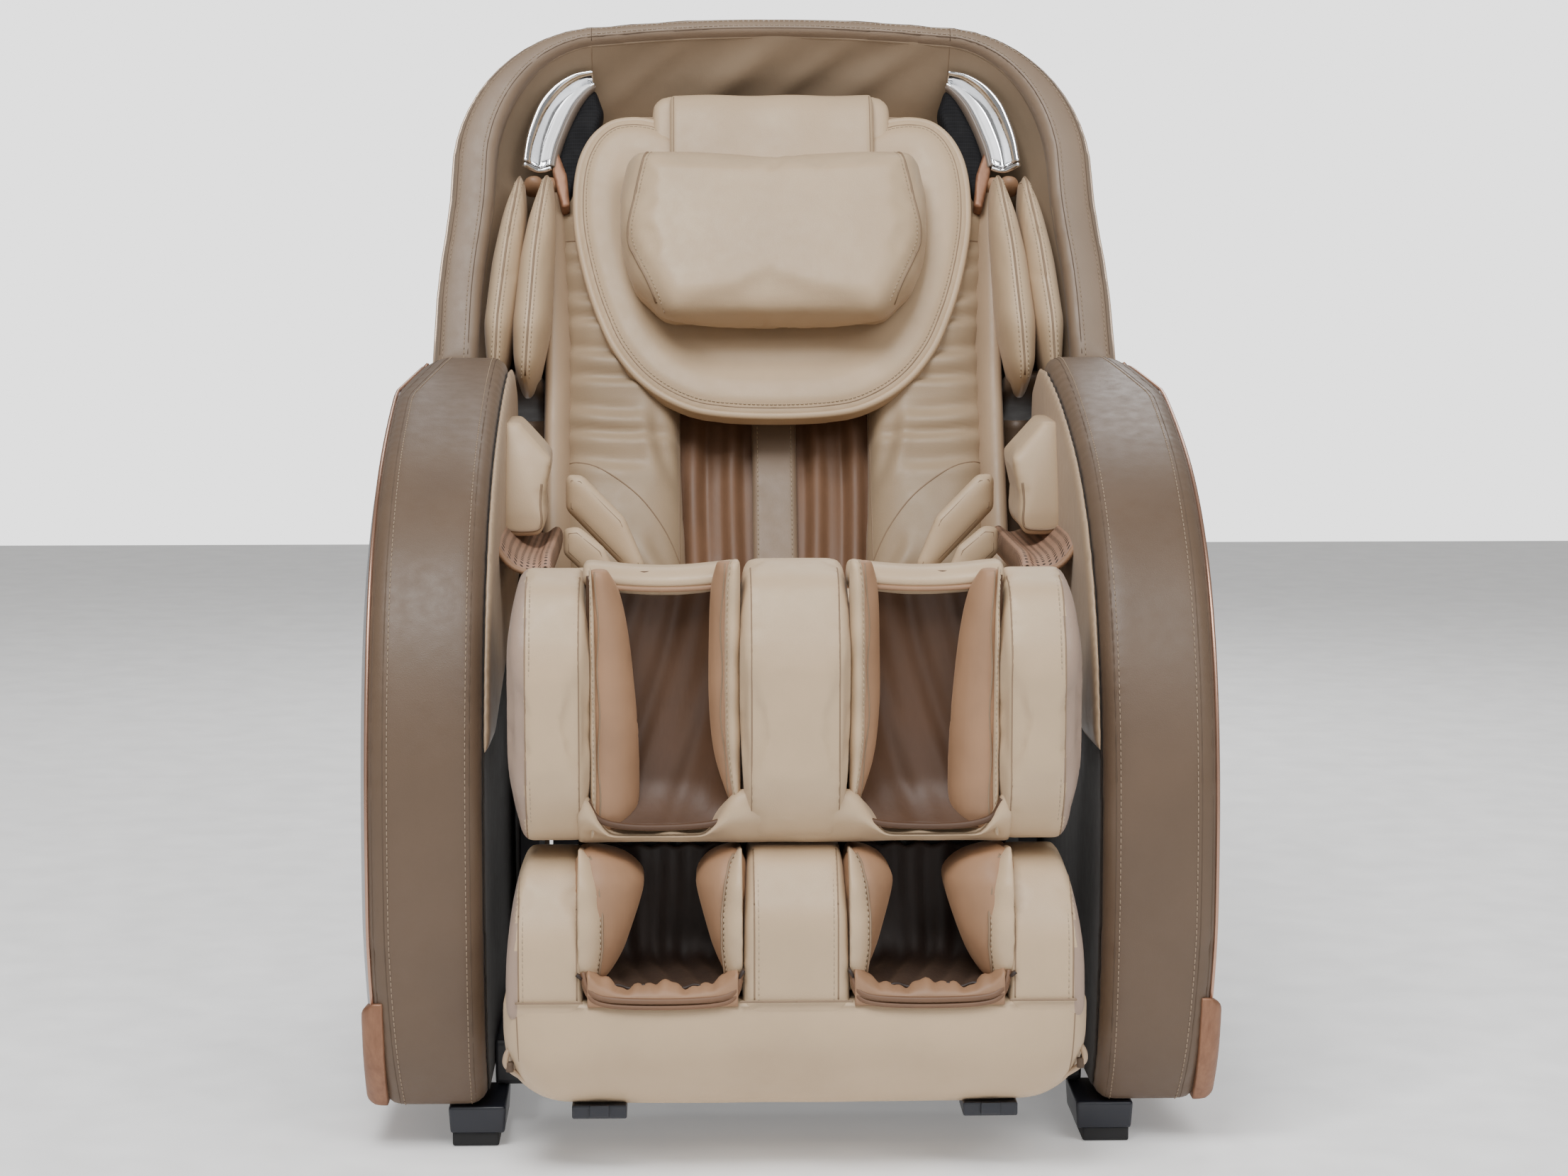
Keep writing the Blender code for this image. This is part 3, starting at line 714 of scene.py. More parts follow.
ARM_WRAP = 0.010             # how far the band laps over the edge of the side shell


def arm_outer_x(f, u):
    """Outer limit of the leather band at a height; it is the same all along the arm."""
    x = ARM_HIGH.x + ARM_WRAP
    if u > CHAMFER_FROM:
        x -= CHAMFER_CUT * (u - CHAMFER_FROM) / (ARM_HIGH.y - CHAMFER_FROM)
    if u < TUCK_FROM:
        x -= 0.010 * ((TUCK_FROM - u) / (TUCK_FROM - FLOOR_U)) ** 1.5
    return x


def outer_limits(co):
    return np.array([arm_outer_x(f, u) for f, u in zip(co[:, 2], co[:, 1])])


def arm_shape(co):
    limit = outer_limits(co)
    share = (co[:, 0] - ARM_LOW.x) / (ARM_HIGH.x - ARM_LOW.x)
    co[:, 0] = ARM_LOW.x + share * (limit - ARM_LOW.x)
    return co


def shell_shape(co):
    co[:, 0] += outer_limits(co) - ARM_HIGH.x - ARM_WRAP
    return co


def make_arm_covers():
    """Leather band, silver side, the copper line between them and the inlay at the foot."""
    body = pad("arm_cover_L", SEAT, "side", ARM_OUTLINE, ARM_LOW.x, ARM_HIGH.x, TAUPE, 0.006,
               edge=0.014, lip=0.80, shape=arm_shape)
    soften(body, 8)
    shell = pad("arm_side_shell_L", SEAT, "side", inset_outline(ARM_OUTLINE, 0.010), ARM_HIGH.x + 0.0006,
                SHELL_HIGH.x + 0.004, SILVER, 0.006, edge=0.16, lip=0.15, rest="lo", shape=shell_shape)
    tree = tree_of(body)
    crest = ARM_CREST + ARM_BACK[1:18]
    trim = Trim("base", THREAD_TAUPE)
    for where, step in ((lambda f, u: ARM_LOW.x + 0.013, 0.0045),
                        (lambda f, u: arm_outer_x(f, u) - 0.019, -0.0045),
                        (lambda f, u: arm_outer_x(f, u) - 0.007, None)):
        trim.seam(laid_round(crest, where, tree), 0.0008)
        if step:
            trim.stitches(laid_round(crest, lambda f, u: where(f, u) + step, tree))
    trim.finish("arm", pair=True)
    ride_pair(body, "base", ["arm_body_"])
    ride_pair(shell, "base", ["arm_shell_"])
    joint = inset_outline(ARM_OUTLINE, 0.012)[:len(crest)]
    edge = edge_path(joint, lambda f, u: arm_outer_x(f, u) - 0.001)
    copper = bead("arm_copper_line_L", edge, 0.0022, COPPER)
    ride_pair(copper, "base")
    low = [p for p in ARM_CREST if p[1] < -0.262]
    wedge = low + [(0.42, -0.300), (0.36, FLOOR_U + 0.004)]
    inlay = pad("arm_inlay_L", SEAT, "side", wedge, ARM_HIGH.x - 0.006, SHELL_HIGH.x - 0.002, INLAY,
                0.0035, edge=0.012, lip=0.3, rest="lo")
    ride_pair(inlay, "base")


def make_arm_insides():
    """Liner, hand airbag and the perforated ledge under the forearm."""
    trim = Trim("base", THREAD_BEIGE)
    inner = ARM_LOW.x
    top = [p for p in inset_outline(ARM_OUTLINE, 0.014)[:len(ARM_CREST)] if p[1] > -0.02]
    face = top + [(-0.10, 0.33), (-0.15, 0.10), (0.10, 0.05), (0.45, -0.02)]
    liner = pad("arm_liner_L", SEAT, "side", face, inner - 0.008, inner - 0.0004, BEIGE_SIDE, 0.005,
                edge=0.02, lip=0.35, rest="hi")
    ride_pair(liner, "base", ())
    # near-black sheet over the arm's inner face: painted shade
    lining = pad("arm_lining_L", SEAT, "side", inset_outline(ARM_OUTLINE, 0.014), inner - 0.002,
                 inner + 0.0004, TAUPE_INSIDE_SHADE, 0.006, edge=0.004, lip=0.35, rest="hi")
    ride_pair(lining, "base")

    low, high = local_box("hand_airbag_L", SEAT)
    tongue = rounded([(0.3235, 0.304), (0.3020, 0.305), (0.2650, 0.264), (0.2750, 0.222), (0.2720, 0.190),
                      (0.2790, 0.177), (0.3050, 0.176), (0.3235, 0.180)],
                     [0.002, 0.006, 0.004, 0.02, 0.02, 0.008, 0.02, 0.002])

    def sweep(co):
        """The bag runs back along the arm, and its front end bows forward at the bottom."""
        ahead = unit((co[:, 2] - low.z) / (high.z - low.z))
        co[:, 2] -= 0.035 * ahead * unit((co[:, 1] - 0.20) / 0.10) ** 1.3
        co[:, 0] += 0.004 * (1.0 - ahead)
        return co

    cushion = pad("hand_cushion_L", SEAT, "front", tongue, low.z, high.z, BEIGE, 0.0033, edge=0.009,
                  lip=0.93, shape=sweep)
    inflate(cushion, 1.0, 0.002)
    tree = tree_of(cushion)
    under = [(0.2765, 0.236), (0.2780, 0.215), (0.2765, 0.193), (0.2820, 0.184), (0.304, 0.1825),
             (0.320, 0.186)]
    under = smooth_line(face_points(under, 0.30, SEAT), per=8)
    piping = laid_on(under, tree, (0.0, 1.0, 0.0), 0.15)
    trim.seam(piping, 0.0016, 0.0003)
    ride_pair(cushion, "base", ["hand_airbag_"])

    low, high = local_box("forearm_ledge_L", SEAT)
    lines = []
    for step in range(15):
        f = low.z + (high.z - low.z) * step / 14.0
        drop = 0.010 * max(0.0, (f - high.z + 0.06) / 0.06) ** 2
        profile = [(high.x, high.y + 0.010), (high.x - 0.010, high.y + 0.004), (0.298, high.y - 0.014),
                   (0.280, high.y - 0.020), (0.268, high.y - 0.013), (low.x + 0.005, high.y - 0.016),
                   (low.x + 0.003, high.y - 0.028), (low.x + 0.008, low.y + 0.006), (low.x + 0.02, low.y)]
        lines.append([(p.x, p.y - drop, f) for p in smooth_line(profile, per=5)])
    ledge = lofted("forearm_tray_L", lines, PERFORATED, SEAT)
    thicken(ledge, 0.004, -1.0)
    ride_pair(ledge, "base", ["forearm_ledge_"])
    front = [(high.x - 0.002, high.y, high.z - 0.001), (0.30, high.y - 0.026, high.z + 0.003),
             (low.x + 0.002, high.y - 0.036, high.z)]
    hem = bead("forearm_tray_hem_L", [(SEAT @ p, Vector((0.0, -1.0, 0.0)))
                                      for p in smooth_line(front, per=8)], 0.0035, SATIN)
    ride_pair(hem, "base")
    trim.finish("arm_inside", pair=True)


make_arm_covers()
make_arm_insides()


# ---- hood; front outlines are (across, up) in the back's frame ----
RIM_LOW, RIM_HIGH = local_box("hood_rim", BACK)
HOOD_FOOT = RIM_LOW.y
HOOD_TURN = (0.215, 0.625)


def hood_half(inset, top_inset=None, foot=HOOD_FOOT):
    """Half the hood's edge, from its foot up to its top centre, moved in by inset."""
    top = inset if top_inset is None else top_inset
    wide = RIM_HIGH.x - inset
    points = [(wide, foot), (wide - 0.0015, foot + 0.05), (wide - 0.003, 0.45), (wide - 0.007, 0.50),
              (wide - 0.012, 0.54), (wide - 0.0165, 0.585)]
    reach_x = wide - 0.018 - HOOD_TURN[0]
    reach_u = RIM_HIGH.y - 0.012 - top - HOOD_TURN[1]
    for step in range(1, 15):
        a = math.radians(90.0 * step / 14.0)
        points.append((HOOD_TURN[0] + reach_x * math.cos(a), HOOD_TURN[1] + reach_u * math.sin(a)))
    for step in range(1, 7):
        t = step / 6.0
        points.append((HOOD_TURN[0] * (1.0 - t), RIM_HIGH.y - top - 0.012 * (1.0 - t) ** 2))
    return points


def whole(half):
    """Join a right-hand line, ending at the centre, to its mirror image."""
    return half + [(-x, u) for x, u in half[-2::-1]]


def on_back(line, f, tree):
    """An (across, up) line laid from in front on a pad of the back."""
    return laid_on(face_points(line, f), tree, BACKWARD)


BACKWARD = BACK.to_3x3() @ Vector((0.0, 0.0, -1.0))
RIM_WIDE = 0.054
RIM_TOP = 0.026


def make_hood_rim():
    edge = whole(hood_half(0.0))
    inner = whole(hood_half(RIM_WIDE, RIM_TOP))

    def rim_shape(co):
        """Slope the rim's face back to its outer edge and dip it a little between its seams."""
        away = edge_distance(co[:, [0, 1]], edge)
        front = unit((co[:, 2] - RIM_LOW.z) / (RIM_HIGH.z - RIM_LOW.z))
        co[:, 2] -= front * 0.006 * unit(1.0 - away / 0.03) ** 1.5
        return co

    rim = pad("hood_rim_cover", BACK, "front", edge + inner[::-1], RIM_LOW.z, RIM_HIGH.z, TAUPE_RIM, 0.005,
              edge=0.007, lip=0.80, rest="lo", shape=rim_shape)
    tree = tree_of(rim)
    trim = Trim("back", THREAD_TAUPE)
    for inset, top in ((0.0075, 0.005), (RIM_WIDE - 0.012, RIM_TOP - 0.006)):
        line = whole(hood_half(inset, top, HOOD_FOOT + 0.004))
        trim.seam(laid_on(smooth_line(face_points(line, RIM_HIGH.z), per=3), tree, BACKWARD), 0.0008)
    for inset, top in ((0.0115, 0.0085), (RIM_WIDE - 0.0165, RIM_TOP - 0.0095)):
        line = whole(hood_half(inset, top, HOOD_FOOT + 0.010))
        trim.stitches(laid_on(smooth_line(face_points(line, RIM_HIGH.z), per=3), tree, BACKWARD))
    for side in (1, -1):
        hem = [(side * x, HOOD_FOOT + 0.010)
               for x in np.linspace(RIM_HIGH.x - 0.045, RIM_HIGH.x - 0.004, 12)]
        trim.stitches(on_back(hem, RIM_HIGH.z, tree))
        cross = [(side * 0.229, u) for u in np.linspace(0.79, 0.85, 14)]
        trim.seam(on_back(cross, RIM_HIGH.z, tree), 0.0007)
    trim.finish("rim")
    ride(rim, "back", ["hood_rim"])

    outer = [(x, u) for x, u in hood_half(0.0, 0.0, HOOD_FOOT + 0.004)[:16]]
    landed = [(p, BACK.to_3x3() @ Vector((1.0, 0.0, 0.0))) for p in face_points(outer, RIM_HIGH.z - 0.020)]
    line = bead("hood_edge_line_L", landed, 0.0019, TRIM_PALE)
    ride_pair(line, "back")


def make_hood_lining():
    """The ceiling runs from the rim back to the head; its cloth has slack, so it folds."""
    rows = []
    steps = 12
    for row in range(steps + 1):
        t = row / steps
        inset = RIM_WIDE - 0.006 + 0.062 * t ** 1.6
        top = RIM_TOP - 0.006 + 0.072 * t ** 1.2
        foot = HOOD_FOOT + 0.016
        f = RIM_HIGH.z - 0.012 - 0.132 * t
        rows.append([Vector((x, u, f)) for x, u in whole(hood_half(inset, top, foot))])
    rows = [smooth_line(row, per=3) for row in rows]
    # where each swag of the cloth hangs, how deep it is and how wide
    swags = ((0.20, 0.009, 0.020), (0.115, 0.006, 0.016), (0.02, 0.008, 0.024), (-0.10, 0.005, 0.020))
    for row, line in enumerate(rows):
        t = row / steps
        for index, point in enumerate(line):
            if point.y > 0.70:
                slack = math.sin(math.pi * min(1.0, t * 1.05)) * min(1.0, (point.y - 0.70) / 0.06)
                along = point.x + 0.16 * t
                deep = 0.0035 * math.sin(24.0 * along + 0.8)
                for middle, height, width in swags:
                    deep += height * math.exp(-((along - middle) / width) ** 2)
                line[index] = point - Vector((0.0, deep * slack, 0.0))
    # the ceiling takes the darker beige copy, painted shade under the hood
    ceiling = lofted("hood_ceiling", rows, BEIGE_SHADE, BACK)
    thicken(ceiling, 0.004, 1.0, 1)
    tree = tree_of(ceiling)
    ride(ceiling, "back", ["hood_liner"])
    trim = Trim("back", THREAD_BEIGE)
    for side in (1, -1):
        line = [Vector((side * (0.232 - 0.008 * t), 0.815 - 0.075 * t, 0.085 - 0.11 * t))
                for t in np.linspace(0.0, 1.0, 24)]
        way = BACK.to_3x3() @ Vector((side * 0.35, 1.0, 0.0))
        trim.seam(laid_on([BACK @ p for p in line], tree, way, 0.05), 0.0008)
    trim.finish("ceiling")
    lip = whole(hood_half(RIM_WIDE - 0.003, RIM_TOP - 0.002, HOOD_FOOT + 0.006))
    landed = [(p, -BACKWARD) for p in smooth_line(face_points(lip, RIM_HIGH.z - 0.018), per=3)]
    # the piping takes the same darker beige, painted shade
    edge = bead("hood_lining_piping", landed, 0.0030, BEIGE_SHADE)
    ride(edge, "back")

    panel = rounded([(-0.325, HOOD_FOOT + 0.01), (0.325, HOOD_FOOT + 0.01), (0.31, 0.60), (0.24, 0.752),
                     (-0.24, 0.752), (-0.31, 0.60)], [0.01, 0.01, 0.06, 0.08, 0.08, 0.06])
    rear = pad("hood_back_panel", BACK, "front", panel, -0.0505, -0.0400, BEIGE_SIDE, 0.007, edge=0.02,
               lip=0.6, rest="lo")
    ride(rear, "back", ())


def between(first, second, stops):
    """Curves between two (across, up) lines, one at each (share, forward) of stops."""
    return [smooth_line([(a[0] + (b[0] - a[0]) * t, a[1] + (b[1] - a[1]) * t, f)
                         for a, b in zip(first, second)], per=6) for t, f in stops]


def make_head_sides():
    """Chrome window, speaker and copper accent on each side of the head."""
    outer = [(0.228, 0.781), (0.252, 0.776), (0.275, 0.761), (0.293, 0.738), (0.304, 0.710),
             (0.311, 0.682), (0.3145, 0.652)]
    inner = [(0.226, 0.770), (0.238, 0.761), (0.252, 0.743), (0.262, 0.722), (0.270, 0.700),
             (0.277, 0.678), (0.2815, 0.653)]
    rows = between(outer, inner, ((0.0, 0.060), (0.05, 0.064), (0.14, 0.060), (0.35, 0.046), (0.6, 0.040),
                                  (0.85, 0.045), (0.95, 0.051), (1.0, 0.047)))
    chrome = lofted("window_chrome_L", rows, CHROME, BACK)
    thicken(chrome, 0.003, -1.0, 1)
    ride_pair(chrome, "back", ["window_trim_"])
    rows = between(outer, inner, ((0.60, 0.0425), (0.66, 0.0455), (0.80, 0.0480), (0.92, 0.0515),
                                  (0.97, 0.0500)))
    glow = lofted("window_light_L", [row[3:-2] for row in rows], LIGHT_PANEL, BACK)
    thicken(glow, 0.002, -1.0, 1)
    ride_pair(glow, "back")
    sill = [BACK @ Vector(p) for p in ((0.280, 0.650, 0.048), (0.297, 0.647, 0.047), (0.315, 0.650, 0.060))]
    lip = bead("window_sill_L", [(p, Vector((0.0, 0.0, 1.0))) for p in smooth_line(sill, per=5)], 0.0035,
               CHROME)
    ride_pair(lip, "back")

    frame_side = [(a[0] - 0.002, a[1] - 0.001) for a in inner]
    grille_side = [(0.2275, 0.768), (0.2365, 0.756), (0.2475, 0.738), (0.2565, 0.717), (0.2645, 0.695),
                   (0.2710, 0.673), (0.2750, 0.650)]
    rows = between(frame_side, grille_side, ((0.0, 0.045), (0.15, 0.050), (0.5, 0.048), (0.85, 0.042),
                                             (1.0, 0.036)))
    bezel = lofted("speaker_bezel_L", rows, BEZEL, BACK)
    thicken(bezel, 0.003, -1.0, 1)
    ride_pair(bezel, "back")

    grille = rounded([(0.225, 0.770), (0.240, 0.756), (0.263, 0.706), (0.2735, 0.664), (0.2625, 0.600),
                      (0.243, 0.640), (0.224, 0.690), (0.2135, 0.735)],
                     [0.004, 0.02, 0.02, 0.01, 0.004, 0.02, 0.03, 0.02])
    speaker = pad("speaker_cloth_L", BACK, "front", grille, 0.022, 0.044, GRILLE, 0.003, edge=0.008,
                  lip=0.6, rest="lo")
    ride_pair(speaker, "back", ["speaker_"])
    accent = rounded([(0.2755, 0.685), (0.2600, 0.640), (0.2560, 0.597), (0.2660, 0.592), (0.2790, 0.645)],
                     [0.001, 0.004, 0.001, 0.003, 0.004])
    wood = pad("speaker_inlay_L", BACK, "front", accent, 0.024, 0.049, INLAY, 0.0024, edge=0.002, lip=0.94,
               rest="lo")
    ride_pair(wood, "back")
    for number, (x, u) in enumerate(((0.302, 0.634), (0.2825, 0.632))):
        plug = rounded([(x - 0.015, u - 0.012), (x + 0.013, u - 0.012), (x + 0.015, u + 0.010),
                        (x - 0.010, u + 0.012)], 0.009)
        end = pad("shoulder_knot_" + str(number) + "_L", BACK, "front", plug, 0.020, 0.052, SATIN, 0.0035,
                  edge=0.014, lip=0.3, rest="lo")
        ride_pair(end, "back", ())


def make_shoulder_bags():
    """Two thin leaf-shaped airbags on each side, seen edge-on from in front."""
    trim = Trim("back", THREAD_BEIGE)
    reach = local_box("shoulder_airbag_L", BACK)[1].z
    ups = [0.338, 0.365, 0.42, 0.50, 0.56, 0.60, 0.640]
    leaves = (("outer", [0.344, 0.344, 0.341, 0.333, 0.326, 0.320, 0.316],
               [0.014, 0.024, 0.037, 0.035, 0.027, 0.017, 0.006]),
              ("inner", [0.308, 0.306, 0.302, 0.297, 0.291, 0.286, 0.281],
               [0.020, 0.034, 0.045, 0.039, 0.030, 0.018, 0.006]))
    thick = 0.04
    for name, centres, widths in leaves:
        front = reach - (0.004 if name == "outer" else 0.0)
        outline = rounded([(0.0, 0.345), (front - 0.022, 0.340), (front, 0.400), (front, 0.520),
                           (front - 0.018, 0.618), (0.010, 0.640)], [0.02, 0.03, 0.05, 0.06, 0.02, 0.02])

        def leaf_shape(co):
            centre = np.interp(co[:, 1], ups, centres)
            width = np.interp(co[:, 1], ups, widths)
            co[:, 0] = centre + co[:, 0] * width / thick
            return co

        leaf = pad("shoulder_bag_" + name + "_L", BACK, "side", outline, -thick / 2.0, thick / 2.0, BEIGE,
                   0.0045, edge=0.05, lip=0.20, shape=leaf_shape)
        inflate(leaf, 1.5, 0.003)
        tree = tree_of(leaf)
        for shift, kind in ((0.0, "seam"), (0.0045, "stitch"), (-0.0045, "stitch")):
            line = [BACK @ Vector((np.interp(u, ups, centres) + shift, u, 0.13))
                    for u in np.linspace(0.345, 0.630, 60)]
            landed = laid_on(line, tree, BACKWARD, 0.05)
            if kind == "seam":
                trim.seam(landed, 0.0016, 0.0004)
            else:
                trim.stitches(landed, 0.006, 0.004, 0.0008)
        ride_pair(leaf, "back",
                  ["shoulder_airbag_"] if name == "inner" else ())
    trim.finish("shoulder", pair=True)


make_hood_rim()
make_hood_lining()
make_head_sides()
make_shoulder_bags()


def crease(co, facing, lines, sign=1.0):
    """Press soft folds into the visible face. Each line is (start, end, depth, width)."""
    i, j, k = AXES[facing]
    middle = (co[:, k].min() + co[:, k].max()) / 2.0
    half = (co[:, k].max() - co[:, k].min()) / 2.0
    facing_out = unit(sign * (co[:, k] - middle) / half * 1.6)
    shift = np.zeros(len(co))
    for start, end, depth, width in lines:
        a = np.array(start)
        d = np.array(end) - a
        t = ((co[:, [i, j]] - a) @ d) / (d @ d)
        bow = 0.06 * np.linalg.norm(d) * np.sin(np.pi * unit(t))
        away = ((co[:, [i, j]] - a) @ np.array((-d[1], d[0]))) / np.linalg.norm(d) - bow
        past = unit(np.abs(t - 0.5) - 0.5) * np.linalg.norm(d)
        fade = np.sqrt(unit(np.sin(np.pi * np.clip(t, 0.02, 0.98)))) * np.exp(-(past / width) ** 2)
        shift += depth * fade * (np.exp(-(away / width) ** 2)
                                 - 0.55 * np.exp(-((away - 1.8 * width) / (1.2 * width)) ** 2))
    co[:, k] -= sign * shift * facing_out
    return co


def edging(name, outline, f, radius, mat, body, tree=None):
    """Closed piping round a front-facing pad, at a given F or laid on the pad's face."""
    points = face_points(list(outline) + [outline[0]], f)
    if tree is not None:
        landed = [(p + n * radius * 0.2, n) for p, n in laid_on(points, tree, BACKWARD, 0.06)]
    else:
        landed = [(p, -BACKWARD) for p in points]
    return ride(bead(name, landed[:-1], radius, mat, closed=True), body)


# ---- back pads ----
def make_bolsters():
    trim = Trim("back", THREAD_BEIGE)
    low, high = local_box("back_bolster_L", BACK)
    outline = rounded([(low.x, low.y), (0.258, low.y), (0.270, 0.26), (0.268, 0.42), (0.290, 0.62),
                       (0.262, 0.720), (0.205, high.y - 0.012), (low.x, high.y)],
                      [0.02, 0.03, 0.08, 0.08, 0.06, 0.05, 0.05, 0.02])
    folds = []
    # height at the side, how far in the fold reaches and its depth
    pulls = ((0.600, 0.16, 0.0035), (0.560, 0.19, 0.0030), (0.528, 0.15, 0.0040), (0.492, 0.18, 0.0035),
             (0.455, 0.14, 0.0045), (0.418, 0.17, 0.0040), (0.375, 0.13, 0.0045), (0.338, 0.16, 0.0035),
             (0.300, 0.12, 0.0040), (0.268, 0.15, 0.0025))
    for number, (u, reach, deep) in enumerate(pulls):
        sag = 0.016 if number % 2 else 0.004
        folds.append(((0.275, u + 0.004), (reach, u - sag), deep, 0.0085 if number % 2 else 0.0065))
    folds.append(((0.15, 0.33), (0.12, 0.22), 0.003, 0.008))
    folds.append(((0.155, 0.16), (0.115, 0.10), 0.003, 0.008))

    folds = [(start, end, deep * 2.6, wide) for start, end, deep, wide in folds]

    def shape(co):
        return crease(co, "front", folds)

    # the bolster takes the darker beige copy, painted shade below the head cushion
    bolster = pad("bolster_L", BACK, "front", outline, low.z, high.z + 0.002, BEIGE_BACK_SHADE, 0.005, edge=0.055,
                  lip=0.35, crown=0.10, rest="lo", shape=shape)
    inflate(bolster, 3.0, 0.007)
    tree = tree_of(bolster)
    curve = smooth_line(face_points([(0.272, 0.262), (0.245, 0.254), (0.215, 0.240), (0.172, 0.208),
                                     (0.138, 0.166), (0.116, 0.122)], high.z), per=10)
    trim.seam(laid_on(curve, tree, BACKWARD), 0.0011)
    upper = smooth_line(face_points([(0.285, 0.575), (0.268, 0.562), (0.240, 0.556)], high.z), per=8)
    trim.seam(laid_on(upper, tree, BACKWARD), 0.0010)
    inner = face_points([(low.x + 0.007, u) for u in np.linspace(0.085, 0.73, 90)], high.z)
    trim.seam(laid_on(inner, tree, BACKWARD), 0.0009)
    trim.finish("bolster", pair=True)
    ride_pair(bolster, "back", ["back_bolster_"])
    shell_x = local_box("lower_shell", BACK)[1].x
    rows = []
    for x, f in ((0.246, -0.010), (0.256, 0.022), (0.267, 0.036), (shell_x - 0.003, 0.038),
                 (shell_x + 0.006, 0.030), (shell_x + 0.007, -0.10)):
        rows.append([(x + 0.006 * max(0.0, (u - 0.36) / 0.26), u, f) for u in np.linspace(0.093, 0.64, 40)])
    cheek = lofted("bolster_side_L", rows, BEIGE_SIDE, BACK)
    thicken(cheek, 0.003, 1.0, 1)
    ride_pair(cheek, "back")
    base = rounded([(0.286, HOOD_FOOT - 0.004), (0.372, HOOD_FOOT - 0.004), (0.372, HOOD_FOOT + 0.030),
                    (0.286, HOOD_FOOT + 0.030)], 0.01)
    shelf = pad("shoulder_base_L", BACK, "front", base, -0.19, 0.040, TAUPE, 0.006, edge=0.012, lip=0.8,
                rest="lo")
    ride_pair(shelf, "back", ())


def make_channel():
    """Gathered lining cloth behind the kneading track, with a stitched strip down its middle."""
    low, high = local_box("back_channel", BACK)
    wide = high.x + 0.020
    ups = np.linspace(low.y, high.y, 70)
    rows = []
    for column in range(81):
        x = -wide + 2.0 * wide * column / 80.0
        row = []
        for u in ups:
            across = abs(x) + 0.006 * math.sin(9.0 * u + 2.0) + 0.010 * (u - 0.2)
            deep = 0.0060 * math.sin(125.0 * across + 1.6) + 0.0022 * math.sin(270.0 * across + 5.0 * u)
            edge = min(1.0, (wide - abs(x)) / 0.02)
            row.append((x, u, high.z - 0.005 + deep * edge))
        rows.append(row)
    cloth = lofted("channel_cloth", rows, SATIN_MID, BACK)
    thicken(cloth, 0.002, -1.0)
    if not faces_front(cloth):
        cloth.data.flip_normals()
    ride(cloth, "back", ["back_channel"])
    strip = rounded([(-0.028, low.y), (0.028, low.y), (0.028, high.y), (-0.028, high.y)], 0.004)
    band = pad("channel_strip", BACK, "front", strip, high.z - 0.004, high.z + 0.008, TAUPE_LIGHT, 0.004,
               edge=0.006, lip=0.6, rest="lo")
    trim = Trim("back", THREAD_BEIGE)
    tree = tree_of(band)
    for x in (-0.021, 0.021):
        line = face_points([(x, u) for u in np.linspace(low.y + 0.005, high.y - 0.005, 120)], high.z)
        trim.stitches(laid_on(line, tree, BACKWARD))
    trim.finish("channel")
    ride(band, "back", ())


def faces_front(obj):
    total = sum((p.normal * p.area for p in obj.data.polygons), Vector())
    return total.length < 1e-9 or total.dot(BACKWARD) <= 0.0


HEAD_HALF = [(0.0, 0.303), (0.040, 0.304), (0.074, 0.307), (0.103, 0.313), (0.132, 0.326), (0.157, 0.343),
             (0.180, 0.366), (0.203, 0.400), (0.220, 0.440), (0.233, 0.480), (0.244, 0.527),
             (0.2505, 0.570), (0.2515, 0.612), (0.2480, 0.648), (0.240, 0.676), (0.226, 0.700),
             (0.205, 0.717), (0.178, 0.7225), (0.150, 0.719), (0.125, 0.709), (0.10, 0.703), (0.0, 0.703)]


def make_head_pad():
    low, high = local_box("head_pad", BACK)
    edge = HEAD_HALF + [(-x, u) for x, u in HEAD_HALF[-2:0:-1]]
    edge = [tuple(p) for p in smooth_line(edge, closed=True, per=4)]

    def shape(co):
        """A dished middle where the pillow presses, so the border stands as a soft roll."""
        away = edge_distance(co[:, [0, 1]], edge)
        front = unit((co[:, 2] - low.z) / (high.z - low.z))
        co[:, 2] -= front * 0.008 * unit((away - 0.045) / 0.03)
        groove = np.exp(-((away - 0.0135) / 0.0035) ** 2)
        co[:, 2] -= front * 0.0045 * groove
        return co

    cover = pad("head_cushion", BACK, "front", edge, low.z - 0.006, high.z + 0.002, BEIGE, 0.0045,
                edge=0.030, lip=0.55, rest="lo", shape=shape)
    tree = tree_of(cover)
    trim = Trim("back", THREAD_BEIGE)
    for inset, kind in ((0.0125, "seam"), (0.0165, "stitch")):
        line = face_points(inset_outline(edge, inset), high.z)
        landed = laid_on(line + [line[0]], tree, BACKWARD)
        if kind == "seam":
            trim.seam(landed, 0.0009)
        else:
            trim.stitches(landed, 0.0055, 0.0038)
    trim.finish("head")
    edging("head_cushion_piping", inset_outline(edge, 0.004), 0.046, 0.0052, BEIGE, "back")
    ride(cover, "back", ["head_pad"])

    back_tab = rounded([(-0.152, 0.64), (0.152, 0.64), (0.152, 0.752), (-0.152, 0.752)],
                       [0.01, 0.01, 0.022, 0.022])
    tab = pad("head_strap_backing", BACK, "front", back_tab, 0.040, 0.0562, BEIGE, 0.0045, edge=0.010,
              lip=0.6, rest="lo")
    ride(tab, "back", ())


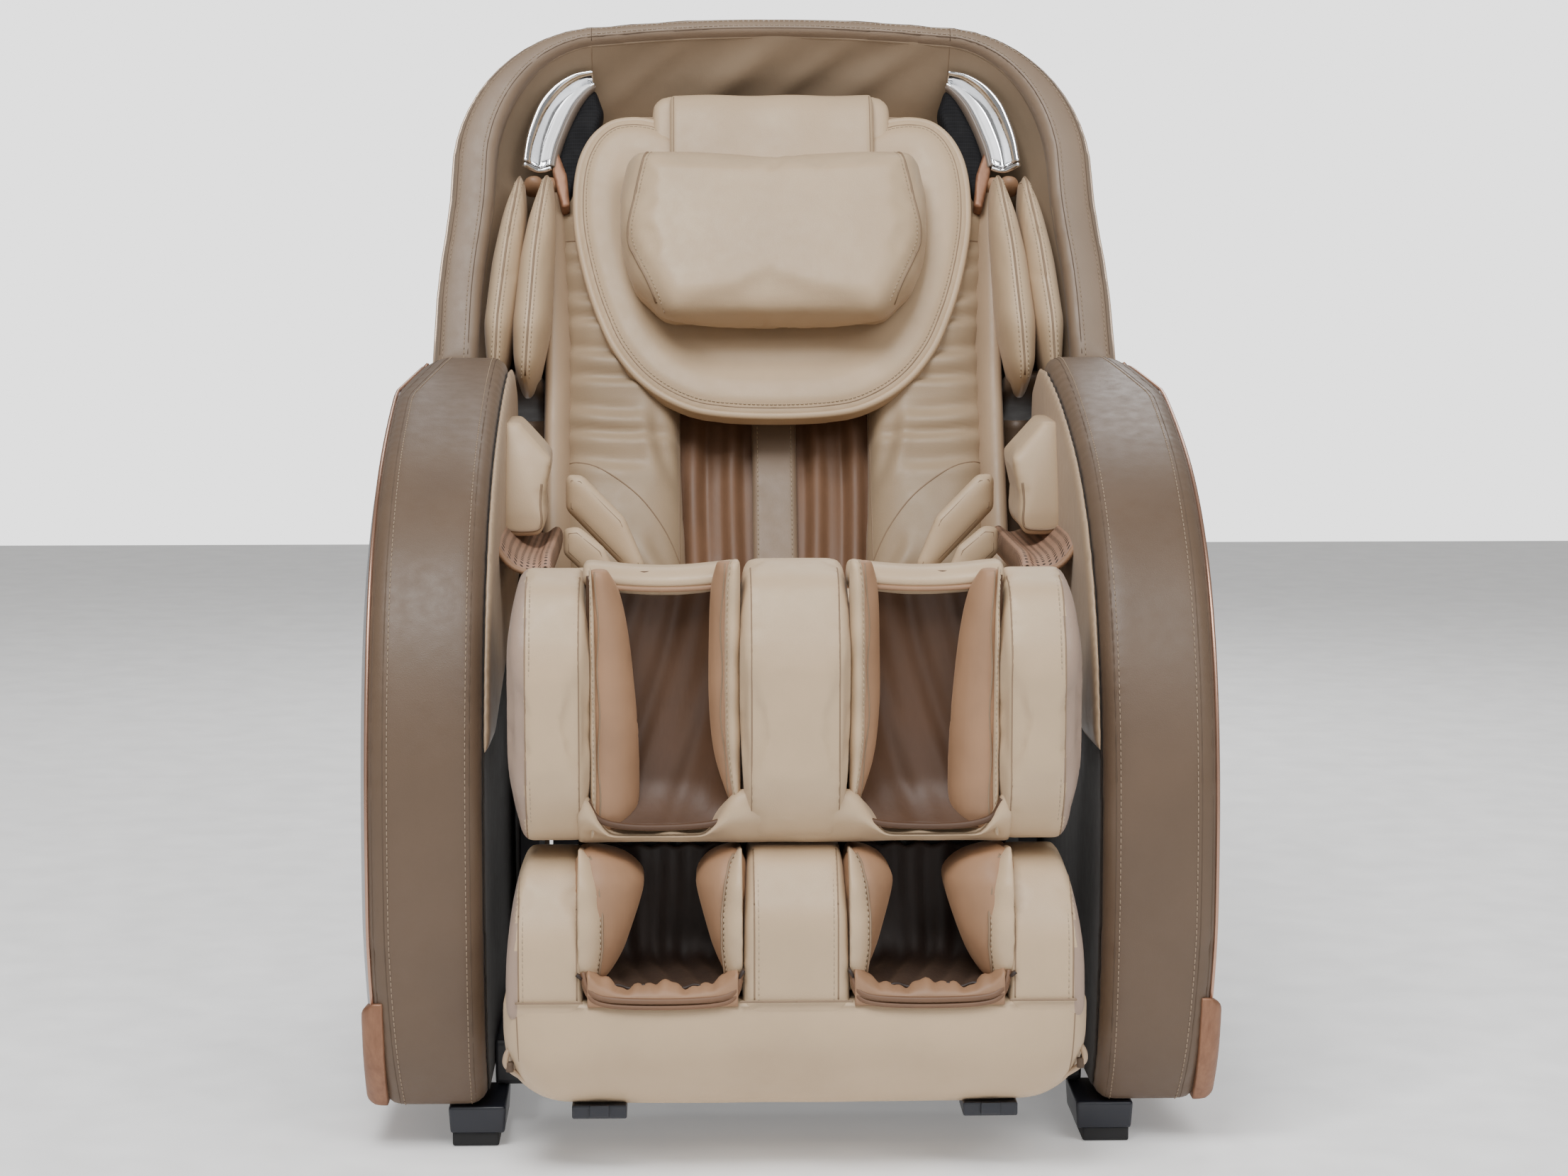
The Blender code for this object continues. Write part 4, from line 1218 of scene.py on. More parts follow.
# ---- pillow, which hinges on its strap ----
def make_pillow():
    low, high = local_box("pillow", BACK)
    top, foot = 0.643, low.y + 0.032
    outline = rounded([(-0.186, top), (-0.193, 0.530), (-0.178, 0.462), (-0.138, foot), (0.138, foot),
                       (0.178, 0.462), (0.193, 0.530), (0.186, top)],
                      [0.018, 0.06, 0.045, 0.035, 0.035, 0.045, 0.06, 0.018])
    half = [(0.153, top + 0.004), (0.163, 0.614), (0.174, 0.563), (0.1815, 0.522), (0.174, 0.492),
            (0.151, 0.458), (0.124, foot - 0.002)]
    panel = [tuple(p) for p in smooth_line(half, per=6)]

    def sag(u):
        """How far the front face hangs below the outline."""
        return 0.044 * unit((0.49 - u) / 0.075)

    def shape(co):
        front = unit((co[:, 2] - 0.08) / (high.z - 0.08))
        there_and_back = panel + panel[::-1]
        side = np.minimum(edge_distance(co[:, [0, 1]], there_and_back),
                          edge_distance(co[:, [0, 1]] * np.array((-1.0, 1.0)), there_and_back))
        co[:, 2] -= front * 0.005 * np.exp(-(side / 0.004) ** 2)
        beyond = np.interp(co[:, 1], [p[1] for p in panel[::-1]], [p[0] for p in panel[::-1]])
        out = np.clip(np.abs(co[:, 0]) - beyond, 0.0, 0.06)
        co[:, 2] -= front * 0.45 * out
        co[:, 1] -= sag(co[:, 1]) * front
        return co

    cushion = pad("pillow_cushion", BACK, "front", outline, low.z + 0.001, high.z - 0.004, BEIGE, 0.005,
                  edge=0.036, lip=0.34, crown=0.06, rest="lo", shape=shape)
    inflate(cushion, 3.5, 0.006)
    tree = tree_of(cushion)
    trim = Trim("pillow", THREAD_BEIGE)
    for side in (1, -1):
        line = [(side * x, u - sag(u)) for x, u in panel]
        trim.seam(on_back(line, high.z, tree), 0.0018, 0.0002)
        inside = [(side * (x - 0.005), u - sag(u)) for x, u in panel]
        trim.stitches(on_back(inside, high.z, tree), 0.0055, 0.0038)
    lower = [(x, foot - sag(foot) + 0.004) for x in np.linspace(-0.124, 0.124, 50)]
    trim.seam(on_back(lower, high.z, tree), 0.0012, 0.0002)
    ride(cushion, "pillow", ["pillow"])

    strap_edge = rounded([(-0.130, 0.56), (0.130, 0.56), (0.130, high.y + 0.002), (-0.130, high.y + 0.002)],
                         [0.01, 0.01, 0.006, 0.006])

    def drape(co):
        over = np.clip((co[:, 1] - 0.715) / 0.03, 0.0, 1.2)
        co[:, 2] -= 0.006 * over ** 2
        co[:, 2] += 0.0015 * np.sin(co[:, 0] * 60.0) * unit((co[:, 1] - 0.62) / 0.1)
        return co

    strap = pad("pillow_strap", BACK, "front", strap_edge, 0.0575, 0.0735, BEIGE, 0.0045, edge=0.006,
                lip=0.6, rest="lo", shape=drape)
    tree = tree_of(strap)
    for side in (1, -1):
        line = [(side * 0.1245, u) for u in np.linspace(0.60, high.y - 0.004, 40)]
        trim.seam(on_back(line, 0.08, tree), 0.0008)
    trim.finish("trim")
    ride(strap, "pillow", ())


def make_back_top():
    """The upper ends of the backrest cushion, just seen above the head cushion."""
    edge = rounded([(0.105, 0.64), (0.236, 0.64), (0.238, 0.700), (0.215, 0.730), (0.180, 0.742),
                    (0.145, 0.744), (0.105, 0.728)], [0.004, 0.01, 0.02, 0.02, 0.02, 0.02, 0.02])
    top = pad("back_top_L", BACK, "front", edge, -0.005, 0.029, BEIGE_SIDE, 0.004, edge=0.02, lip=0.3,
              rest="lo")
    ride_pair(top, "back", ())


make_bolsters()
make_channel()
make_head_pad()
make_pillow()
make_back_top()


# ---- seat ----
def make_seat():
    low, high = local_box("seat_pad", SEAT)
    wide = 0.2500
    trim = Trim("seat", THREAD_BEIGE)
    profile = [(low.z, low.y + 0.001), (high.z - 0.010, low.y + 0.001), (high.z - 0.002, 0.075),
               (high.z - 0.008, high.y), (0.25, 0.118), (0.13, 0.066), (low.z, 0.045)]
    outline = rounded(profile, [0.01, 0.02, 0.03, 0.045, 0.06, 0.05, 0.02])

    def shape(co):
        """A dished seat: the top sinks between its raised sides."""
        top = unit((co[:, 1] + 0.01) / 0.08)
        across = unit(1.0 - (np.abs(co[:, 0]) / 0.20) ** 2)
        co[:, 1] -= top * 0.014 * across
        for f in (0.165, 0.285):
            co[:, 1] -= top * 0.0045 * np.exp(-((co[:, 2] - f) / 0.006) ** 2) * (np.abs(co[:, 0]) < 0.19)
        corner = unit((np.abs(co[:, 0]) - 0.12) / 0.12) * unit((co[:, 2] - 0.28) / 0.14)
        co[:, 1] += top * 0.020 * corner
        side = np.exp(-((np.abs(co[:, 0]) - 0.195) / 0.006) ** 2)
        co[:, 1] -= top * 0.005 * side
        return co

    cushion = pad("seat_cushion", SEAT, "side", outline, -wide, wide, BEIGE, 0.007, edge=0.0008, lip=1.0,
                  shape=shape)
    soften(cushion, 6)
    inflate(cushion, 3.0, 0.006, pins=lambda co: co[:, 2] < 0.47)
    tree = tree_of(cushion)
    down = (0.0, 0.0, -1.0)
    line = [SEAT @ Vector((0.195, 0.20, f)) for f in np.linspace(0.06, high.z - 0.004, 80)]
    trim.seam(laid_on(line, tree, down, 0.05), 0.0009)
    for f in (0.165, 0.285):
        line = [SEAT @ Vector((x, 0.20, f)) for x in np.linspace(0.0, 0.192, 40)]
        trim.seam(laid_on(line, tree, down, 0.05), 0.0009)
    ride(cushion, "seat", ["seat_pad"])

    leaves = (("tall", [(0.252, 0.240), (0.232, 0.238), (0.183, 0.190), (0.158, 0.132), (0.176, 0.122),
                        (0.200, 0.146), (0.252, 0.198)], 0.104, 0.130),
              ("low", [(0.254, 0.180), (0.236, 0.182), (0.206, 0.158), (0.186, 0.112), (0.204, 0.104),
                       (0.254, 0.150)], 0.150, 0.170))
    for name, corners, back_f, front_f in leaves:
        edge = rounded(corners, 0.007)

        def tilt(co):
            co[:, 2] += (0.21 - co[:, 0]) * 0.25
            return co

        flap = pad("hip_flap_" + name + "_L", SEAT, "front", edge, back_f, front_f, BEIGE, 0.0035,
                   edge=0.018, lip=0.25, shape=tilt)
        inflate(flap, 1.5, 0.003)
        tree = tree_of(flap)
        line = [SEAT @ Vector((x, u, front_f)) for x, u in inset_outline(edge, 0.0065)]
        trim.seam(laid_on(line + [line[0]], tree, (0.0, 1.0, 0.0)), 0.0008)
        ride_pair(flap, "seat", ["hip_airbag_"] if name == "tall" else ())
    trim.finish("seat", pair=True)


def make_seat_roll():
    """A padded roll about the hinge closes the gap between seat and back at any recline."""
    radius = 0.072
    turn = [(radius * math.sin(math.radians(a)), radius * math.cos(math.radians(a)))
            for a in range(30, 216, 6)]
    for name, near, far in (("centre", -0.183, 0.183), ("side_L", 0.209, 0.252), ("side_R", -0.252, -0.209)):
        rows = [[(x, u, f) for u, f in turn] for x in np.linspace(near, far, 9)]
        # the roll takes the darker beige copy as painted shade
        roll = lofted("seat_roll_" + name, rows, BEIGE_BACK_SHADE, SEAT)
        thicken(roll, 0.004, 0.0)
        ride(roll, "seat", ())


def make_gussets():
    """Dark cloth between the arms and the back, inside the circle that the hood sweeps."""
    rows = []
    for t in np.linspace(0.0, 1.0, 9):
        x = 0.2865 + (ARM_LOW.x - 0.0004 - 0.2865) * t
        rows.append([(x, u, -0.165 + 0.012 * math.sin(math.pi * t) + 0.002 * math.sin(60.0 * u + 3.0 * t))
                     for u in np.linspace(FLOOR_U + 0.06, 0.285, 60)])
    cloth = lofted("arm_gusset_L", rows, TAUPE, SEAT)
    thicken(cloth, 0.003, 0.0)
    ride_pair(cloth, "base")


make_seat()
make_seat_roll()
make_gussets()


# ---- calf rest ----
WELL_OUT = 0.215             # inner face of the outer block's padding
LEG_STITCH = (0.0062, 0.0042)           # pitch and length of the thread along a leg block's seams
FORWARD = Vector((0.0, -1.0, 0.0))
INTO = -FORWARD


def on_leg(line, tree, f=0.25, start=0.2):
    """An (across, up) line laid from in front on a pad of the calf rest or footrest."""
    return laid_on(face_points(line, f, LEG), tree, INTO, start)


def over_the_top(a):
    """Direction of a ray down onto a leg block at 90 degrees, or back into its front at 0."""
    return Vector((0.0, math.cos(math.radians(a)), -math.sin(math.radians(a))))


def leg_stitches(trim, landed, step):
    trim.stitches([(p + Vector((step, 0.0, 0.0)), n) for p, n in landed], *LEG_STITCH)


def block_outline(front, back, top, bottom, radii):
    return rounded([(back, bottom), (front - 0.04, bottom), (front, bottom + 0.055), (front, 0.0),
                    (front - 0.035, top - 0.018), (back + 0.012, top), (back, top - 0.03)], radii)


def block_seams(trim, tree, x_list, top, bottom, stitched=True):
    """Seams that run over a leg block from its rear top edge down its front."""
    for x, step in x_list:
        landed = []
        for a in np.linspace(100.0, -72.0, 90):
            rise = (top - bottom - 0.12) / 2.0 * math.sin(math.radians(a))
            u = min(top - 0.06, max(bottom + 0.06, (top + bottom) / 2.0 + rise))
            landed += strike(tree, LEG @ Vector((x, u, 0.08)), over_the_top(a), 0.3, 0.4)
        trim.seam(landed, 0.0010)
        if stitched:
            leg_stitches(trim, landed, step)


def tint_side(obj, matrix, mat, beyond):
    """Give a left-hand block its own leather beyond its outer seam."""
    obj.data.materials.append(mat)
    inverse = matrix.inverted()
    for face in obj.data.polygons:
        if (inverse @ face.center).x > beyond:
            face.material_index = 1


def make_calf_blocks():
    trim = Trim("calf_rest", THREAD_BEIGE)
    low, high = local_box("calf_block_L", LEG)
    outline = block_outline(high.z, low.z, high.y, low.y, [0.012, 0.045, 0.06, 0.07, 0.05, 0.03, 0.012])
    folds = [((0.09, -0.190), (0.135, -0.150), 0.002, 0.006)]

    def outer_shape(co):
        """The outer side swells; the bottom slants in."""
        share = (co[:, 0] - low.x) / (high.x - low.x)
        down = unit((-0.10 - co[:, 1]) / 0.10)
        co[:, 0] -= 0.010 * share * down ** 1.5
        up = unit((co[:, 1] - 0.0) / 0.08)
        co[:, 0] -= 0.010 * share * up ** 2
        return crease(co, "side", folds)

    block = pad("calf_outer_L", LEG, "side", outline, WELL_OUT, high.x - 0.001, BEIGE, 0.0045, edge=0.012,
                lip=0.80, shape=outer_shape)
    inflate(block, 2.5, 0.004)
    tree = tree_of(block)
    block_seams(trim, tree, ((WELL_OUT + 0.007, 0.0045), (high.x - 0.0165, -0.0045)), high.y, low.y)
    tint_side(block, LEG, SIDE_PINK, high.x - 0.0165)
    ride_pair(block, "calf_rest", ["calf_block_"])

    low, high = local_box("calf_centre", LEG)
    outline = block_outline(high.z, low.z, high.y, low.y, [0.012, 0.05, 0.07, 0.07, 0.05, 0.03, 0.012])

    def centre_shape(co):
        """The middle block narrows to a rounded nose at the bottom."""
        down = unit((-0.06 - co[:, 1]) / 0.145)
        front = unit((co[:, 2] - 0.05) / 0.06)
        co[:, 0] *= 1.0 - 0.16 * down ** 1.4 * front
        up = unit((co[:, 1] - 0.04) / 0.055)
        co[:, 0] *= 1.0 - 0.07 * up
        return co

    centre = pad("calf_middle", LEG, "side", outline, low.x + 0.001, high.x - 0.001, BEIGE, 0.0045,
                 edge=0.014, lip=0.84, shape=centre_shape)
    inflate(centre, 2.5, 0.003)
    tree = tree_of(centre)
    half_trim = Trim("calf_rest", THREAD_BEIGE)
    block_seams(half_trim, tree, ((high.x - 0.010, -0.0045),), high.y, low.y, stitched=False)
    half_trim.finish("calf_middle", pair=True)
    ride(centre, "calf_rest", ["calf_centre"])

    # rounded underside between the blocks, with slack folds
    outline = rounded([(0.024, low.y - 0.001), (0.100, low.y - 0.002), (0.138, low.y + 0.036),
                       (0.128, low.y + 0.064), (0.060, low.y + 0.040), (0.024, low.y + 0.04)],
                      [0.01, 0.03, 0.02, 0.012, 0.02, 0.01])
    wide = WELL_OUT + 0.010

    def chin_shape(co):
        well = unit(np.minimum((np.abs(co[:, 0]) - 0.062) / 0.03, (WELL_OUT - np.abs(co[:, 0])) / 0.02))
        top = unit((co[:, 1] - low.y - 0.01) / 0.05)
        front = unit((co[:, 2] - 0.04) / 0.08)
        co[:, 1] -= 0.048 * well * top * front
        co[:, 2] -= 0.008 * well * front
        ripple = np.sin(co[:, 0] * 95.0 + co[:, 1] * 60.0) + 0.6 * np.sin(co[:, 0] * 41.0 - co[:, 1] * 90.0)
        co[:, 2] += 0.0012 * ripple * front
        return co

    chin = pad("calf_underside", LEG, "side", outline, -wide, wide, BEIGE, 0.005, edge=0.0008, lip=1.0,
               shape=chin_shape)
    soften(chin, 4)
    ride(chin, "calf_rest", ())
    trim.finish("calf", pair=True)


def make_calf_wells():
    """Each well is a loose satin lining between two stitched side airbags."""
    trim = Trim("calf_rest", THREAD_BEIGE)
    low, high = local_box("calf_well_L", LEG)
    near, far = low.x, WELL_OUT + 0.004
    top, bottom = high.y + 0.010, low.y - 0.002
    rows = []
    for row in range(64):
        t = row / 63.0
        u = top + (bottom - top) * t
        depth = 0.050 + 0.030 * t ** 2.2 + 0.036 * max(0.0, (t - 0.82) / 0.18) ** 2
        depth += 0.020 * max(0.0, 1.0 - t / 0.08) ** 2
        line = []
        for column in range(61):
            s = column / 60.0
            x = near + 0.006 + (far - near - 0.012) * s
            wall = abs(2.0 * s - 1.0) ** 3.2
            f = depth + (0.108 - depth) * wall
            fold = 0.0030 * math.sin(13.0 * s - 6.5 * t + 0.8 * math.sin(4.0 * t))
            fold += 0.0014 * math.sin(31.0 * s - 15.0 * t + 1.4 * math.sin(3.0 * t + s))
            gather = 1.2 - 0.5 * t
            line.append((x, u, f + fold * gather * (1.0 - wall)))
        rows.append(line)
    # the lining's dark brown is partly its own colour and partly painted shade inside the well
    lining = lofted("calf_lining_L", rows, SATIN_DARK_SHADED, LEG)
    thicken(lining, 0.003, 0.0)
    ride_pair(lining, "calf_rest", ["calf_well_"])

    # side airbags: (well side, block side) lines from top to bottom, as fractions of the well
    bags = (("outer", WELL_OUT - 0.003, -1.0, 0.10,
             [(0.018, 0.082), (0.032, 0.055), (0.042, 0.0), (0.048, -0.08), (0.051, -0.15), (0.046, -0.182),
              (0.036, -0.193)]),
            ("inner", near, 1.0, 0.46,
             [(0.024, 0.090), (0.031, 0.060), (0.033, 0.0), (0.033, -0.06), (0.028, -0.11), (0.016, -0.150),
              (0.004, -0.178)]))
    for name, wall, way, share, reach in bags:
        edge = smooth_line(reach, per=7)
        outline = [(wall + way * p.x, p.y) for p in edge]
        outline += [(wall + way * 0.001, edge[-1].y), (wall + way * 0.001, edge[0].y)]

        def lean(co):
            """Its lip stands forward by the block and falls back into the well."""
            inward = np.abs(co[:, 0] - wall) / 0.062
            co[:, 2] -= 0.034 * np.clip(inward, 0.0, 1.2) ** 1.6
            co[:, 2] += 0.0015 * np.sin(co[:, 1] * 70.0 + wall * 90.0) * unit(inward)
            return co

        bag = pad("calf_bag_" + name + "_L", LEG, "front", outline, 0.088, 0.122, SATIN, 0.0042, edge=0.02,
                  lip=0.30, shape=lean)
        inflate(bag, 1.5, 0.003)
        tree = tree_of(bag)
        line = [(wall + way * (p.x * share + 0.0052 + 0.0012 * math.sin(70.0 * p.y)), p.y) for p in edge]
        trim.seam(on_leg(line, tree, 0.2, 0.15), 0.0012)
        ride_pair(bag, "calf_rest", ())
        # beige outer half of the airbag, gathered against the block
        strip = [(wall + way * (p.x * share + 0.002), p.y) for p in edge]
        root = wall + way * 0.001
        strip_outline = strip + [(root, edge[-1].y - 0.004), (root, edge[0].y + 0.004)]

        def pucker(co):
            co[:, 2] += 0.0016 * np.sin(co[:, 1] * 120.0) + 0.0012 * np.sin(co[:, 1] * 57.0 + 1.0)
            return co

        side_bag = pad("calf_bag_side_" + name + "_L", LEG, "front", strip_outline, 0.092, 0.1315, BEIGE,
                       0.0035, edge=0.014, lip=0.35, shape=pucker)
        line = [(wall + way * (p.x * share - 0.0006), p.y) for p in edge]
        trim.stitches(on_leg(line, tree_of(side_bag), 0.2, 0.15), *LEG_STITCH)
        ride_pair(side_bag, "calf_rest", ())
    trim.finish("well", pair=True)
    piped = [(0.058, -0.158), (0.066, -0.172), (0.090, -0.181), (0.140, -0.184), (0.180, -0.182),
             (0.204, -0.174), (0.214, -0.156)]
    points = [LEG @ Vector((p.x, p.y, 0.124)) for p in smooth_line(piped, per=8)]
    # the piping takes the lining's shaded brown, partly painted shade
    rim = bead("calf_well_piping_L", [(p, FORWARD) for p in points], 0.0035, SATIN_DARK_SHADED)
    ride_pair(rim, "calf_rest")
    crown = rounded([(0.020, 0.050), (0.085, 0.060), (0.100, 0.074), (0.078, 0.088), (0.030, 0.086)],
                    [0.005, 0.010, 0.010, 0.012, 0.012])

    def bow(co):
        middle = unit(1.0 - np.abs(co[:, 0] - 0.136) / 0.08)
        co[:, 1] -= 0.008 * np.sin(0.5 * np.pi * middle)
        co[:, 2] -= 0.012 * np.sin(0.5 * np.pi * middle)
        return co

    top_pad = pad("calf_well_top_L", LEG, "side", crown, near, far, BEIGE, 0.0045, edge=0.001, lip=1.0,
                  shape=bow)
    soften(top_pad, 9)
    ride_pair(top_pad, "calf_rest", ())
    front = [(x, 0.064 - 0.006 * math.sin(math.pi * (x - 0.06) / 0.15),
              0.094 - 0.012 * math.sin(math.pi * (x - 0.06) / 0.15)) for x in np.linspace(0.06, 0.21, 20)]
    rim = bead("calf_well_hem_L", [(LEG @ Vector(p), FORWARD) for p in front], 0.0028, SATIN)
    ride_pair(rim, "calf_rest")


make_calf_blocks()
make_calf_wells()


# ---- footrest ----
SEAM_U = -0.358              # where the apron meets the blocks above it
BLOCK_IN = 0.219             # inner face of an outer block
FOOT_WIDE = local_box("foot_block_L", LEG)[1].x - 0.001      # half of the footrest's width


def make_foot_blocks():
    trim = Trim("footrest", THREAD_BEIGE)
    low, high = local_box("foot_block_L", LEG)
    front = high.z + 0.001
    upper = rounded([(low.z + 0.002, SEAM_U - 0.02), (front, SEAM_U - 0.02), (front, high.y - 0.075),
                     (front - 0.050, high.y - 0.010), (0.035, high.y), (low.z + 0.002, high.y - 0.03)],
                    [0.006, 0.006, 0.070, 0.055, 0.03, 0.01])

    def shoulder(co):
        """The outer side is drawn in towards the top."""
        share = (co[:, 0] - BLOCK_IN) / (high.x - BLOCK_IN)
        rise = unit((co[:, 1] - SEAM_U) / (high.y - SEAM_U))
        co[:, 0] -= share * (0.004 + 0.020 * rise ** 2.2)
        return co

    block = pad("foot_outer_L", LEG, "side", upper, BLOCK_IN, high.x - 0.001, BEIGE, 0.0045, edge=0.014,
                lip=0.82, shape=shoulder)
    inflate(block, 2.0, 0.003, pins=lambda co: co[:, 2] < 0.20)
    tree = tree_of(block)
    leg_seam(trim, tree, BLOCK_IN + 0.006, SEAM_U + 0.002, high.y - 0.005, 0.0)
    leg_seam(trim, tree, high.x - 0.0185, SEAM_U + 0.002, high.y - 0.012, -0.0045)
    tint_side(block, LEG, SIDE_PINK, high.x - 0.0165)
    ride_pair(block, "footrest", ["foot_block_"])

    low, high = local_box("foot_centre", LEG)
    middle = rounded([(0.002, SEAM_U - 0.02), (front, SEAM_U - 0.02), (front, high.y - 0.060),
                      (front - 0.048, high.y - 0.002), (0.035, high.y), (0.002, high.y - 0.03)],
                     [0.006, 0.006, 0.060, 0.05, 0.03, 0.01])

    def waist(co):
        rise = unit((co[:, 1] - SEAM_U) / (high.y - SEAM_U))
        co[:, 0] *= 1.0 - 0.12 * rise ** 2
        return co

    centre = pad("foot_middle", LEG, "side", middle, low.x, high.x, BEIGE, 0.0045, edge=0.014, lip=0.84,
                 shape=waist)
    tree = tree_of(centre)
    leg_seam(trim, tree, high.x - 0.012, SEAM_U + 0.002, high.y - 0.005, -0.0045)
    ride(centre, "footrest", ["foot_centre"])
    trim.finish("foot", pair=True)


def leg_seam(trim, tree, x, bottom, top, step):
    """A seam up the front of a foot block and back over its rounded top."""
    landed = on_leg([(x, u) for u in np.linspace(bottom, top - 0.045, 40)], tree)
    for a in np.linspace(8.0, 88.0, 30):
        hits = strike(tree, LEG @ Vector((x, top - 0.06, 0.10)), over_the_top(a), 0.2, 0.3)
        landed += [hit for hit in hits if hit[0].z > LEG.translation.z + top - 0.047]
    trim.seam(landed, 0.0010)
    if step:
        leg_stitches(trim, landed, step)


def make_apron():
    """One broad face below the foot wells, with rounded ends and tucked lower corners."""
    low, high = local_box("foot_apron", LEG)
    wide = FOOT_WIDE
    front = high.z + 0.001
    profile = rounded([(0.004, low.y), (front - 0.038, low.y), (front, low.y + 0.048),
                       (front - 0.002, SEAM_U), (0.004, SEAM_U)], [0.01, 0.055, 0.06, 0.006, 0.006])

    def ends(co):
        out = unit((np.abs(co[:, 0]) - (wide - 0.060)) / 0.060)
        co[:, 1] += 0.034 * out ** 2.2 * unit((SEAM_U - co[:, 1]) / 0.10)
        edge = unit((np.abs(co[:, 0]) - (wide - 0.018)) / 0.018)
        forward = unit((co[:, 2] - 0.05) / 0.10)
        co[:, 2] -= 0.016 * edge ** 2 * forward
        side = unit((SEAM_U - co[:, 1]) / 0.11)
        co[:, 0] *= 1.0 - 0.012 * side ** 2
        lower = unit((low.y + 0.075 - co[:, 1]) / 0.05)
        co[:, 2] += 0.0012 * np.sin(co[:, 0] * 33.0 + 2.0 * np.sin(co[:, 0] * 9.0)) * lower * forward
        return co

    apron = pad("foot_apron_cover", LEG, "side", profile, -wide, wide, BEIGE, 0.006, edge=0.0008, lip=1.0,
                shape=ends)
    soften(apron, 6)
    inflate(apron, 2.5, 0.004, pins=lambda co: co[:, 2] > LEG.translation.z + SEAM_U - 0.012)
    tree = tree_of(apron)
    ride(apron, "footrest", ["foot_apron"])
    trim = Trim("footrest", THREAD_BEIGE)
    side = [(wide - 0.0145 - 0.004 * t, SEAM_U - 0.002 - t * 0.085) for t in np.linspace(0.0, 1.0, 50)]
    landed = on_leg(side, tree)
    trim.seam(landed, 0.0010)
    leg_stitches(trim, landed, -0.0045)
    for x0, x1 in ((0.0, 0.058), (0.219, wide - 0.014)):
        points = [LEG @ Vector((x, SEAM_U + 0.0005, front + 0.0006)) for x in np.linspace(x0, x1, 24)]
        trim.seam([(p, FORWARD) for p in points], 0.0011)
    trim.finish("apron", pair=True)
    loop = smooth_line([(wide - 0.010, -0.408, 0.142), (wide - 0.004, -0.416, 0.148),
                        (wide - 0.003, -0.426, 0.148), (wide - 0.009, -0.434, 0.144),
                        (wide - 0.016, -0.440, 0.140), (wide - 0.028, -0.449, 0.134)], per=6)
    hem = bead("foot_zip_hem_L", [(LEG @ p, FORWARD) for p in loop], 0.0032, BEIGE_SIDE)
    ride_pair(hem, "footrest")
    tab = bead("foot_zip_tab_L", [(LEG @ Vector((wide - 0.007, -0.424 - 0.010 * t, 0.148)), FORWARD)
                                  for t in np.linspace(0.0, 1.0, 5)], 0.0040, SEAM_DARK)
    ride_pair(tab, "footrest")




